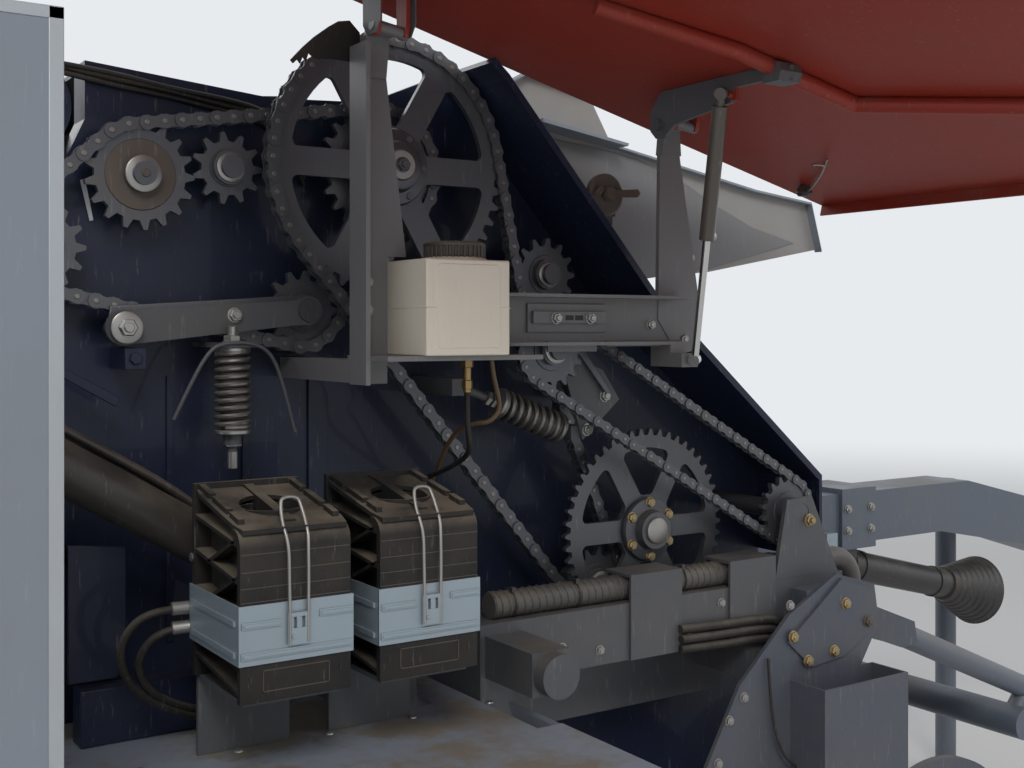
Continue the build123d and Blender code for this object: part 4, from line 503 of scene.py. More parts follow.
class BALER_PG_finish(PropertyGroup):
    hood_colour: FloatVectorProperty(
        name="Hood colour", description="Paint of the two side hoods", subtype="COLOR", size=3,
        min=0, max=1, default=FINISHES["hood_paint"][0],
    )
    panel_colour: FloatVectorProperty(
        name="Panel colour", description="Paint of the side guards and the net unit", subtype="COLOR", size=3,
        min=0, max=1, default=FINISHES["panel_paint"][0],
    )
    tread_depth: FloatProperty(
        name="Tread depth", description="Depth of the tyres' tread blocks", subtype="DISTANCE", unit="LENGTH",
        min=0.002, max=0.03, default=0.014,
    )


class BALER_OT_finishes(Operator):
    """Give every CAD node its painted, bare, rubber or plastic finish"""

    bl_idname = "baler.finishes"
    bl_label = "Finishes"

    def execute(self, context):
        chosen = context.scene.baler_finish
        for name, colour in (("hood_paint", chosen.hood_colour), ("panel_paint", chosen.panel_colour)):
            FINISHES[name] = (tuple(colour),) + FINISHES[name][1:]
        group = weather_group()
        for name in FINISHES:
            make_finish(name, group)
        for name, nodes in NODE_FINISHES.items():
            for node in nodes:
                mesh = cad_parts[node].data
                mesh.materials.clear()
                mesh.materials.append(finish_named(name))
        return {"FINISHED"}


# Chains


def pitch_radius(teeth, pitch):
    return pitch / (2 * math.sin(math.pi / teeth))


def belt_route(stops):
    """A chain's arcs and straights: is it bent, x, z, radius, heading, length."""
    wheels = []
    for name, side in stops:
        x, z, teeth, pitch = SPROCKETS[name][:4]
        wheels.append((x, z, side * pitch_radius(teeth, pitch)))
    count = len(wheels)
    headings = []
    for i, (x0, z0, r0) in enumerate(wheels):
        x1, z1, r1 = wheels[(i + 1) % count]
        span = math.hypot(x1 - x0, z1 - z0)
        headings.append(math.atan2(z1 - z0, x1 - x0) + math.asin((r0 - r1) / span))
    route = []
    for i, (x, z, r) in enumerate(wheels):
        arrive, leave = headings[i - 1], headings[i]
        turn = (leave - arrive) * (1 if r > 0 else -1) % (2 * math.pi)
        route.append((True, x, z, r, arrive, abs(r) * turn))
        x1, z1, r1 = wheels[(i + 1) % count]
        start = (x + r * math.sin(leave), z - r * math.cos(leave))
        end = (x1 + r1 * math.sin(leave), z1 - r1 * math.cos(leave))
        route.append((False, start[0], start[1], 0, leave, math.hypot(end[0] - start[0], end[1] - start[1])))
    return route


def route_point(route, distance):
    """The point that lies this far along a chain's route."""
    for bent, x, z, r, heading, length in route:
        if distance <= length:
            if not bent:
                return x + distance * math.cos(heading), z + distance * math.sin(heading)
            turned = heading + distance / r
            return x + r * math.sin(turned), z - r * math.cos(turned)
        distance -= length
    return route_point(route, 0)


def link_outline(a, b, reach):
    """Outline of a waisted link plate between two pins, in X and Z."""
    span = math.hypot(b[0] - a[0], b[1] - a[1])
    along = ((b[0] - a[0]) / span, (b[1] - a[1]) / span)
    points = []
    for centre, turn in ((b, 0), (a, math.pi)):
        for step in range(7):
            t = turn - math.radians(72) + math.radians(24) * step
            u, v = reach * math.cos(t), reach * math.sin(t)
            points.append((centre[0] + u * along[0] - v * along[1],
                           centre[1] + u * along[1] + v * along[0]))
        half = 0.70 * reach * (1 if turn == 0 else -1)
        middle = ((a[0] + b[0]) / 2, (a[1] + b[1]) / 2)
        points.append((middle[0] - half * along[1], middle[1] + half * along[0]))
    return points


def add_chain(plates, rivets, plane, pitch, stops):
    """One chain: inner and outer plates by turns, a roller and a riveted pin at every joint."""
    y = -plane
    route = belt_route(stops)
    length = sum(leg[5] for leg in route)
    links = round(length / pitch)
    links += links % 2
    pins = [route_point(route, i * length / links) for i in range(links)]
    scale = pitch / HEAVY_PITCH
    for i, pin in enumerate(pins):
        ahead = pins[(i + 1) % links]
        outer = i % 2 == 0
        inner_face = (10.2 if outer else 6.9) * scale
        outline = link_outline(pin, ahead, (13.2 if outer else 14) * scale)
        for side in (1, -1):
            plates.side(outline, y + side * inner_face, y + side * (inner_face + 3 * scale))
        x, z = pin
        half, reach = 6.8 * scale, 14.6 * scale
        plates.turned((x, y - half, z), (x, y + half, z), ((0, 9.6 * scale), (13.6 * scale, 9.6 * scale)), 14)
        rivets.turned((x, y - reach, z), (x, y + reach, z),
                      ((0, 3.9 * scale), (0.8 * scale, 4.7 * scale), (2 * reach, 4.7 * scale)), 10)


class BALER_OT_chains(Operator):
    """Lay the roller chains link by link round their sprockets"""

    bl_idname = "baler.chains"
    bl_label = "Roller chains"

    def execute(self, context):
        links, pins = Shape(), Shape()
        for plane, pitch, stops in CHAINS:
            add_chain(links, pins, plane, pitch, stops)
        piece = links.make("chain_links", "greasy_steel", slot="drive_steel")
        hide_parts("right_chains")
        pins.make("chain_pins", "worn_steel", slot="drive_steel")
        return {"FINISHED"}


def bolt_circle(shape, centre, radius, first, *head):
    """Six bolts round a sprocket's hub, the first one turned by so many degrees."""
    x, y, z = centre
    for step in range(6):
        t = math.radians(60 * step + first)
        shape.bolt((x + radius * math.cos(t), y, z + radius * math.sin(t)), OUT, *head)


# From a chain's plane out to the hub's face
HUB_REACH = 20


class BALER_OT_sprocket_parts(Operator):
    """Add hub bolts, washers and caps to the sprockets"""

    bl_idname = "baler.sprocket_parts"
    bl_label = "Sprocket hubs"

    def execute(self, context):
        grease, bright, yellow, rusty = Shape(), Shape(), Shape(), Shape()
        for name, (x, z, teeth, pitch, plane) in SPROCKETS.items():
            face = -plane - HUB_REACH
            if name == "inner":
                continue
            if name == "gable":
                rusty.turned((x, -plane - 5, z), (x, -plane - 8.5, z), ((0, 62), (3.5, 60)), 32)
                bright.turned((x, face, z), (x, face - 6, z), ((0, 31), (5, 31), (6, 29)), 32)
                rusty.bolt((x, face - 5, z), OUT, 15, False, 5)
            elif name == "main":
                grease.turned((x, face + 9, z), (x, face - 26, z),
                              ((0, 74), (8, 70), (12, 50), (32, 44), (35, 38)), 36)
                bright.turned((x, face - 25, z), (x, face - 31, z), ((0, 30), (6, 26)), 28)
                grease.bolt((x, face - 30, z), OUT, 14, True, 6)
                bolt_circle(grease, (x, face + 2, z), 61, 0, 8, False)
            elif name == "lower":
                grease.turned((x, face + 9, z), (x, face - 20, z),
                              ((0, 66), (7, 64), (10, 42), (29, 38)), 36)
                bright.turned((x, face - 19, z), (x, face - 27, z), ((0, 27), (6, 27), (8, 24)), 28)
                bolt_circle(yellow, (x, face + 2, z), 56, 30, 11, True, 3)
            else:
                bright.turned((x, face, z), (x, face - 5, z), ((0, 26), (4, 26), (5, 24)), 24)
                grease.bolt((x, face - 4, z), OUT, 13, False, 4)
                radius = pitch_radius(teeth, pitch)
                grease.turned((x, -plane - 5.5, z), (x, -plane - 9, z),
                              ((0, radius * 0.6), (3, radius * 0.58)), 30)
        grease.make("sprocket_hubs", "greasy_steel", slot="drive_steel")
        bright.make("sprocket_washers", "bright_zinc", slot="drive_steel")
        yellow.make("sprocket_bolts", "zinc_yellow", slot="drive_steel")
        rusty.make("sprocket_rusty_disc", "rusty_steel", slot="drive_steel")
        return {"FINISHED"}


# The share of a turn that lies flat at each end of a spring
DEAD_TURN = 0.6


def coil(start, end, radius, turns, steps=18):
    """Points of a wound wire; its first and last turns lie flat."""
    a = Vector(start)
    way = Vector(end) - a
    u, v = square_to(way.normalized())
    points = []
    for i in range(turns * steps + 1):
        share = i / (turns * steps)
        climb = min(max((share * turns - DEAD_TURN) / (turns - 2 * DEAD_TURN), 0), 1)
        t = 2 * math.pi * turns * share
        points.append(a + way * climb + (u * math.cos(t) + v * math.sin(t)) * radius)
    return points


class BALER_OT_tensioner_parts(Operator):
    """Wind the tensioners' springs and add their nuts, washers, wires and bolts"""

    bl_idname = "baler.tensioner_parts"
    bl_label = "Tensioner parts"

    def execute(self, context):
        springs, nuts = Shape(), Shape()
        x, y = -3877, -805
        springs.tube(coil((x, y, 1645), (x, y, 1513), 27, 11), 4.6, 8)
        springs.tube(coil((-3350, -845, 1537), (-3214, -845, 1485), 27, 9), 4.6, 8)
        for z in (1650, 1508):
            nuts.rod((x, y, z), (x, y, z - 8), 31, 24)
        for z in (1500, 1488):
            nuts.bolt((x, y, z), (0, 0, -1), 17, False)
        nuts.bolt((x, y, 1658), (0, 0, 1), 17, True, 18)
        nuts.rod((x, y, 1470), (x, y, 1440), 9, 12)
        low_end = Vector((-3440, -845, 1572))
        way = Vector((-3196 + 3440, 0, 1478 - 1572)).normalized()
        for along in (88, 240):
            p = low_end + way * along
            nuts.rod(p, p + way * 7, 30, 24)
        for along in (60, 74):
            nuts.bolt(low_end + way * along, way, 16, False)
        nuts.turned((-4058, -799, 1684), (-4058, -806, 1684), ((0, 27), (5, 27), (6, 25)), 32)
        nuts.bolt((-4058, -805, 1684), OUT, 17, False, 4)
        nuts.bolt((-3866, -787, 1706), OUT, 13, True, 6)
        for x, z in ((-3128, 1548), (-3172, 1482), (-3225, 1628)):
            nuts.bolt((x, -886, z), OUT, 12, True, 5)
        springs.make("tensioner_springs", "worn_steel", slot="drive_steel")
        nuts.make("tensioner_nuts", "bright_zinc", slot="drive_steel")
        strand("tensioner_wire", "frame_paint", 7, [[
            (-3985, -820, 1530), (-3960, -830, 1590), (-3930, -838, 1646), (-3905, -840, 1658),
            (-3850, -840, 1658), (-3815, -838, 1636), (-3790, -830, 1570), (-3768, -820, 1500),
        ]], slot="drive_steel")
        arms = Shape()
        arms.side(((-3128, 1548), (-3120, 1556), (-3186, 1640), (-3240, 1668), (-3246, 1656), (-3196, 1630)),
                  -898, -890)
        arms.side(((-4085, 1668), (-4078, 1720), (-3722, 1744), (-3700, 1715), (-3722, 1688)), -776.5, -772)
        arms.make("tensioner_arms", "greasy_steel", bevel=1.5, slot="drive_steel")
        return {"FINISHED"}


# Chocks, tank and hoses


CHOCK_X = (-4016, -3795)
CHOCK_WIDTH = 172
CHOCK_Y = (-1200, -1000)
CHOCK_LOW = 1150
CHOCK_TOP = (1405, 1446)
# Half of a bail: distance from the chock's middle, depth from its front face, height
BAIL = (
    (14, -9, 1230), (14, -9, 1262), (15, -8, 1320), (15, -7, 1362), (17, -2, 1384),
    (18, 10, 1402), (16, 22, 1424), (12, 27, 1436),
)
# Cables along the wall's top edge, in X and Z, and how far each strays from the first, in Y and Z
TOP_CABLES = (
    (-4140, 2118), (-4060, 2110), (-3960, 2098), (-3860, 2086), (-3780, 2070), (-3726, 2030), (-3700, 1960),
)
CABLE_STRAY = ((0, 0), (-6, 3), (-3, 9), (-9, 11), (-4, -8))
HOSE_DIAMETER = 13
# Hoses from the chock stand down to the deck: name, route, length in metres
HOSE_LOOPS = (
    ("hose_loop_long", (
        (-4010, -988, 1250), (-4050, -985, 1251), (-4096, -980, 1240), (-4120, -972, 1200),
        (-4110, -962, 1150), (-4074, -950, 1108), (-4024, -936, 1078), (-3968, -915, 1052),
        (-3920, -892, 1036),
    ), 0.42),
    ("hose_loop_short", (
        (-4010, -992, 1222), (-4040, -987, 1221), (-4076, -978, 1206), (-4092, -966, 1168),
        (-4076, -954, 1128), (-4040, -942, 1098), (-3992, -926, 1074), (-3946, -905, 1056),
        (-3906, -884, 1040),
    ), 0.36),
)


def chock_crown(y):
    """Height of a chock's top at a distance from the middle."""
    share = (y - CHOCK_Y[0]) / (CHOCK_Y[1] - CHOCK_Y[0])
    return CHOCK_TOP[0] + share * (CHOCK_TOP[1] - CHOCK_TOP[0])


def holed_top(shape, x0, x1, hole, drop, thick):
    """A chock's sloping top with a round hole in it."""
    corners = 32
    middle_x, middle_y = (x0 + x1) / 2, sum(CHOCK_Y) / 2
    half_x, half_y = (x1 - x0) / 2, (CHOCK_Y[1] - CHOCK_Y[0]) / 2 - 2
    rings = []
    for outside, lift in ((False, 0), (True, 0), (True, -thick), (False, -thick)):
        ring = []
        for i in range(corners):
            t = 2 * math.pi * (i + 0.5) / corners
            u, v = math.cos(t), math.sin(t)
            reach = min(half_x / max(abs(u), 1e-6), half_y / max(abs(v), 1e-6)) if outside else hole
            y = middle_y + reach * v
            ring.append((middle_x + reach * u, y, chock_crown(y) - drop + lift))
        rings.append(ring)
    shape.loft(rings, closed=True)


def chock(body, dark, highlight_lines, x0):
    """One moulded wheel chock: rolled front, holed top, ribbed open sides; gives back its bail's route."""
    x1 = x0 + CHOCK_WIDTH
    near, far = CHOCK_Y
    middle = (x0 + x1) / 2
    wall, drop = 11, 9
    roll = 26
    front = [(near, CHOCK_LOW), (near, chock_crown(near) - drop - roll)]
    for step in range(1, 7):
        t = math.radians(15 * step)
        y = near + roll * (1 - math.cos(t))
        front.append((y, chock_crown(near) - drop - roll + roll * math.sin(t)))
    back = [(y + wall * 0.8, z - wall * 0.8) for y, z in front[:1:-1]]
    front = front + [(front[-1][0] + 8, front[-1][1] - 1)] + back
    front += [(near + wall, chock_crown(near) - drop - roll), (near + wall, CHOCK_LOW)]
    body.cross(front, x0, x1)
    crown = chock_crown(far) - 2
    body.cross(((far - wall, CHOCK_LOW), (far, CHOCK_LOW), (far, crown), (far - wall, crown)), x0, x1)
    holed_top(body, x0 + 0.5, x1 - 0.5, 46, drop, 7)
    y = sum(CHOCK_Y) / 2
    top = chock_crown(y) - drop - 3
    body.hoop((middle, y, top), (middle, y, top - 1), ((0, 46), (0, 50), (150, 50), (150, 46)))
    dark.turned((middle, y, top - 149), (middle, y, top - 152), ((0, 47), (3, 47)), 24)
    rib = [(near + 22, chock_crown(near + 22) - 26), (far - 12, chock_crown(far - 12) - 30),
           (far - 12, chock_crown(far - 12) - 5), (near + 22, chock_crown(near + 22) - 5.5)]
    body.cross(rib, middle - 8, middle + 8)
    for left in (x0 + 7, x1 - 17):
        for start, end in ((near + 26, near + 60), (near + 72, near + 132), (near + 144, far - 4)):
            low, high = chock_crown(start), chock_crown(end)
            strip = ((start, low - 20), (end, high - 20), (end, high - 1), (start, low - 1))
            body.cross(strip, left, left + 10)
    for left, edge in ((x0 + 26, x0), (x1 - 30, x1)):
        body.cross(((near + 8, CHOCK_LOW), (far - 8, CHOCK_LOW), (far - 8, chock_crown(far) - 20),
                    (near + 16, chock_crown(near) - 24)), left, left + 4)
        low_x, high_x = sorted((left + 2, edge + math.copysign(1, left - edge)))
        for z in (1160, 1200, 1262, 1318, 1370):
            body.cross(((near + 8, z), (far - 8, z + 22), (far - 8, z + 28), (near + 8, z + 6)),
                       low_x, high_x)
        for z in (1215, 1275, 1330):
            body.cross(((near + 8, z + 54), (near + 14, z + 56), (far - 60, z + 4), (far - 66, z)),
                       low_x, high_x)
    # Thin lighter strips across the front face and round a frame below it: painted highlights along the
    # moulding's grooves
    for z in (1293, 1313, 1336, 1361):
        highlight_lines.box(x0 + 1, x1 - 1, near - 0.9, near + 3, z, z + 1.4)
    for left, right, low, high in ((34, 138, 1164, 1165.6), (34, 138, 1194, 1195.6),
                                   (34, 35.6, 1164, 1195), (136.4, 138, 1164, 1195)):
        highlight_lines.box(x0 + left, x0 + right, near - 0.8, near + 3, low, high)
    for left in (14, CHOCK_WIDTH - 18):
        dark.box(x0 + left, x0 + left + 4, near - 1, near + 3, 1178, 1188)
    return [
        (middle + side * dx, near + dy, z)
        for side, row in ((-1, BAIL), (1, BAIL[::-1]))
        for dx, dy, z in row
    ]


def chock_band(band, stand, x0):
    """A chock's pressed band with its beads and clasp, and the stand and foot behind it."""
    play = 3.3
    left, right = x0 - play, x0 + CHOCK_WIDTH + play
    near, far = CHOCK_Y[0] - play, CHOCK_Y[1] + play
    low, high = 1205, 1290
    middle = (left + right) / 2
    band.box(left, right, near, near + 3, low, high)
    band.box(left, right, far - 3, far, low, high)
    for a, b in ((left, left + 3), (right - 3, right)):
        band.box(a, b, near + 1, far - 1, low, high)
    for a, b, z in ((left + 4, middle - 26, 1262), (middle + 34, right - 2, 1268),
                    (left + 3, right - 3, 1219)):
        for grow, out in ((0, 2.6), (2.6, 4.2)):
            band.box(a + grow, b - grow, near - out, near, z - 5 + grow, z + 5 - grow)
    for z in (1219, 1264):
        band.box(left - 2.6, left + 1, near + 14, far - 14, z - 4, z + 4)
        band.box(right - 1, right + 2.6, near + 14, far - 14, z - 4, z + 4)
    for a, b, c, d in ((-17, 17, 1228, 1252), (-17, -9, 1252, 1268), (-4, 4, 1252, 1268), (9, 17, 1252, 1268),
                       (-17, 17, 1268, 1274)):
        band.box(middle + a, middle + b, near - 7, near - 3, c, d)
    band.bolt((middle - 9, near - 7, 1240), OUT, 3.6, False)
    stand.box(x0 + 10, right - 13.3, far - 1, CHOCK_Y[1] + 10, 1020.6, 1410)
    stand.box(x0 + 10, right - 13.3, near + 20, CHOCK_Y[1] + 10, 1142, 1149.7)
    for z in (1230, 1330):
        stand.bolt((x0 + 3, far - 4, z), (-1, 0, 0), 8, True)


# A torn rubber strip at the head of the hood post, in X and Z
TORN_FLAP = (
    (-3723, 2179), (-3742, 2197), (-3763, 2193), (-3780, 2182), (-3807, 2161), (-3827, 2142), (-3848, 2119),
    (-3843, 2114), (-3836, 2121), (-3831, 2115), (-3826, 2127), (-3821, 2119), (-3816, 2134), (-3805, 2126),
    (-3777, 2129), (-3731, 2129), (-3723, 2142),
)


class BALER_OT_chocks(Operator):
    """Mould the two wheel chocks, their pressed bands, clasps, bails and stands"""

    bl_idname = "baler.chocks"
    bl_label = "Wheel chocks"

    def execute(self, context):
        body, dark, highlight_lines, band, stand = Shape(), Shape(), Shape(), Shape(), Shape()
        bails = []
        for x0 in CHOCK_X:
            bails.append(chock(body, dark, highlight_lines, x0))
            chock_band(band, stand, x0)
        piece = body.make("chock_blocks", "chock_plastic", bevel=1.6, slot="dark_plastic")
        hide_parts("chocks")
        dark.make("chock_sockets", "hose_rubber", slot="dark_plastic")
        # The chocks' painted groove highlights, in the cap's dark brown
        highlight_lines.make("chock_edge_highlights", "cap_plastic", slot="dark_plastic")
        piece = band.make("chock_bands", "galvanised", bevel=1, slot="galvanised")
        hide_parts("chock_holders")
        stand.make("chock_stands", "frame_paint", bevel=1.2, slot="painted_frame")
        strand("chock_bails", "bright_zinc", 5.4, bails, slot="galvanised")
        return {"FINISHED"}


class BALER_OT_tank(Operator):
    """Mould the oil tank, its neck, ribbed cap, outlet fitting and pipe"""

    bl_idname = "baler.tank_parts"
    bl_label = "Tank parts"

    def execute(self, context):
        tank = Shape().box(-3675, -3515, -1130, -968, 1638, 1796)
        tank.turned((-3575, -1049, 1794), (-3575, -1049, 1804), ((0, 58), (6, 56), (9, 50)), 40)
        piece = tank.make("tank_shell", "tank_plastic", slot="tank_plastic")
        round_edges(piece, 0.017, 5)
        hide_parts("oil_tank")
        seam = Shape()
        seam.box(-3675.8, -3514.2, -1130.8, -967.2, 1715.5, 1717.5)
        seam.side(((-3650, 1650), (-3540, 1650), (-3534, 1656), (-3534, 1782), (-3540, 1788), (-3650, 1788),
                   (-3656, 1782), (-3656, 1656)), -1131.2, -1129)
        seam.make("tank_panel", "tank_plastic", bevel=1, slot="tank_plastic")
        cap = Shape()
        cx, cy, top = -3575, -1049, 1830
        cap.rod((cx, cy, top - 30), (cx, cy, top - 4), 50, 40)
        for t in circle(32):
            p = Vector((cx + 50 * math.cos(t), cy + 50 * math.sin(t), top - 28))
            cap.rod(p, p + Vector((0, 0, 20)), 3, 8)
        cap.turned((cx, cy, top - 9), (cx, cy, top + 1), ((0, 53), (5, 53), (8, 47), (9, 30)),
                   40)
        cap.make("tank_cap", "cap_plastic", slot="dark_plastic")
        fit = Shape()
        fit.rod((-3520, -1000, 1640), (-3520, -1000, 1614), 12, 6)
        fit.rod((-3520, -1000, 1616), (-3520, -1000, 1570), 7, 16)
        fit.rod((-3520, -1000, 1592), (-3520, -1000, 1576), 10, 6)
        fit.make("tank_fitting", "brass", slot="bare_steel")
        strand("tank_pipe", "pipe_brown", 9, [[
            (-3470, -1000, 1640), (-3468, -1000, 1610), (-3456, -998, 1570), (-3446, -994, 1538),
            (-3462, -985, 1514), (-3484, -960, 1512), (-3490, -900, 1490), (-3482, -830, 1420),
            (-3474, -760, 1350), (-3472, -706, 1310),
        ]], slot="hose_rubber")
        strand("tank_drain", "hose_rubber", 10, [[
            (-3520, -1000, 1574), (-3520, -1000, 1540), (-3516, -996, 1500), (-3500, -980, 1460),
            (-3490, -900, 1430), (-3480, -800, 1400), (-3476, -706, 1380),
        ]], slot="hose_rubber")
        return {"FINISHED"}


class BALER_OT_hoses(Operator):
    """Lay the hydraulic hoses, cables, spiral sleeve and ties along the walls and beams"""

    bl_idname = "baler.hoses"
    bl_label = "Hoses and cables"

    def execute(self, context):
        ends, ties, spiral = Shape(), Shape(), Shape()
        lanes = []
        for lane, (dy, dz) in enumerate(CABLE_STRAY):
            lanes.append([(x, -705 + dy + (lane * 3 + i) % 4 - 1.5, z + dz + (lane * 5 + 3 * i) % 7 - 3)
                          for i, (x, z) in enumerate(TOP_CABLES)])
        strand("top_cables", "hose_rubber", 9, lanes, slot="hose_rubber")
        for name, route, length in HOSE_LOOPS:
            piece = strand(name, "hose_rubber", HOSE_DIAMETER, [route], slot="hose_rubber")
            sockets = Shape()
            for p, q in ((route[0], route[1]), (route[-1], route[-2])):
                p, q = Vector(p), Vector(q)
                way = (q - p).normalized()
                sockets.rod(p - way * 6, p + way * 34, 10.5, 16)
                sockets.rod(p - way * 24, p - way * 5, 13, 6)
            fitting = sockets.make(name + "_ends", "bright_zinc", slot="bare_steel")
        strand("beam_pipes", "hose_rubber", 17, [
            [(-3020, -992 - 3 * (lane % 2), 1046 + 20 * lane), (-2920, -995, 1042 + 20 * lane),
             (-2820, -993, 1040 + 20 * lane), (-2740, -990, 1030 + 20 * lane),
             (-2700, -970, 1000 + 20 * lane)]
            for lane in range(3)
        ], slot="hose_rubber")
        strand("sensor_cable", "hose_rubber", 6, [[
            (-2826, -1040, 1010), (-2828, -1046, 960), (-2822, -1048, 900), (-2812, -1050, 850),
            (-2790, -1052, 800), (-2740, -1050, 768),
        ]], slot="hose_rubber")
        strand("rear_pipes", "cylinder_paint", 16, [
            [(-4300, -846, 1560), (-4200, -846, 1520), (-4090, -848, 1462), (-3990, -850, 1404)],
            [(-4300, -868, 1584), (-4210, -866, 1545), (-4100, -864, 1480), (-4000, -862, 1418),
             (-3960, -860, 1385)],
        ], slot="hose_rubber")
        spiral.tube(coil((-3436, -945, 1174.6), (-2606, -945, 1174.6), 24.4, 52, 12), 2.2, 6)
        for x in (-3396, -3250, -2985, -2740, -2690, -2640):
            loop = [(x, -945 + 27.4 * math.cos(t), 1175.4 + 27 * math.sin(t)) for t in circle(12)]
            ties.tube(loop, 1.8, 6, True)
            ties.box(x - 4, x + 4, -962, -953, 1197, 1206)
        spiral.make("sleeve_spiral", "sleeve", slot="hose_rubber")
        ties.make("hose_ties", "black_plastic", slot="dark_plastic")
        return {"FINISHED"}


# Fasteners and plates


# Bolts that look to the right: sort, Y, size, shank, and their places in X and Z
SIDE_BOLTS = (
    ("plain", -1008, 10, 4, (
        (-3454, 1728), (-3454, 1668), (-3110, 1690), (-3719, 2110), (-3719, 1760), (-3719, 1713),
        (-3026, 1662), (-3066, 2040),
    )),
    ("plain", -1020, 11, 5, ((-3342, 1702), (-3264, 1702))),
    ("yellow", -1042, 12, 4, ((-2758, 1046), (-2714, 990), (-2636, 1000), (-2600, 1096))),
    ("rusty", -1042, 13, 4, ((-2530, 1050),)),
    ("plain", -1035, 10, 3, ((-2760, 1110), (-2890, 940), (-2960, 820), (-2930, 900))),
    ("yellow", -980, 13, 8, ((-2645, 1270),)),
    ("plain", -980, 9, 3, ((-2985, 1062), (-3212, 1069), (-3300, 1086), (-2900, 1122))),
    ("plain", -104, 14, 6, ((-1535, 1100), (-1425, 1100), (-1535, 1030), (-1425, 1030))),
    ("plain", -1440, 9, 3, [(x, z) for x in (-5560, -5200, -4840, -4480) for z in (1080, 1960)]),
)


class BALER_OT_fasteners(Operator):
    """Add the bolts, rivets and pins of the bay, deck and frame"""

    bl_idname = "baler.fasteners"
    bl_label = "Fasteners"

    def execute(self, context):
        yellow, plain, rusty = Shape(), Shape(), Shape()
        sorts = {"yellow": yellow, "plain": plain, "rusty": rusty}
        for sort, y, size, shank, spots in SIDE_BOLTS:
            for x, z in spots:
                sorts[sort].bolt((x, y, z), OUT, size, True, shank)
        for x, z in ((-3046, 1917), (-2668, 1898), (-2738, 1845)):
            plain.rivet((x, -703, z), OUT, 12)
        for x in range(-5650, -3460, 155):
            for y in (-1440, -1010):
                plain.rivet((x, y, 1020.3), (0, 0, 1), 8)
        for y in (-66, 66):
            for z in (812, 888):
                plain.bolt((-180, y, z), (1, 0, 0), 13, True, 6)
        for z in range(1100, 2040, 155):
            plain.rivet((-4315, -1405, z), (1, 0, 0), 5)
        yellow.mirrored().make("bolts_yellow", "zinc_yellow", slot="bare_steel")
        plain.mirrored().make("bolts_plain", "bright_zinc", slot="bare_steel")
        rusty.make("bolt_rusty", "rusty_steel", slot="bare_steel")
        pins = Shape()
        for y in (-900, 900):
            pins.rod((-4400, y - 52, 1599), (-4400, y + 52, 1599), 15, 20)
        pins.make("gate_pins", "worn_steel", "tailgate", slot="bare_steel")
        return {"FINISHED"}


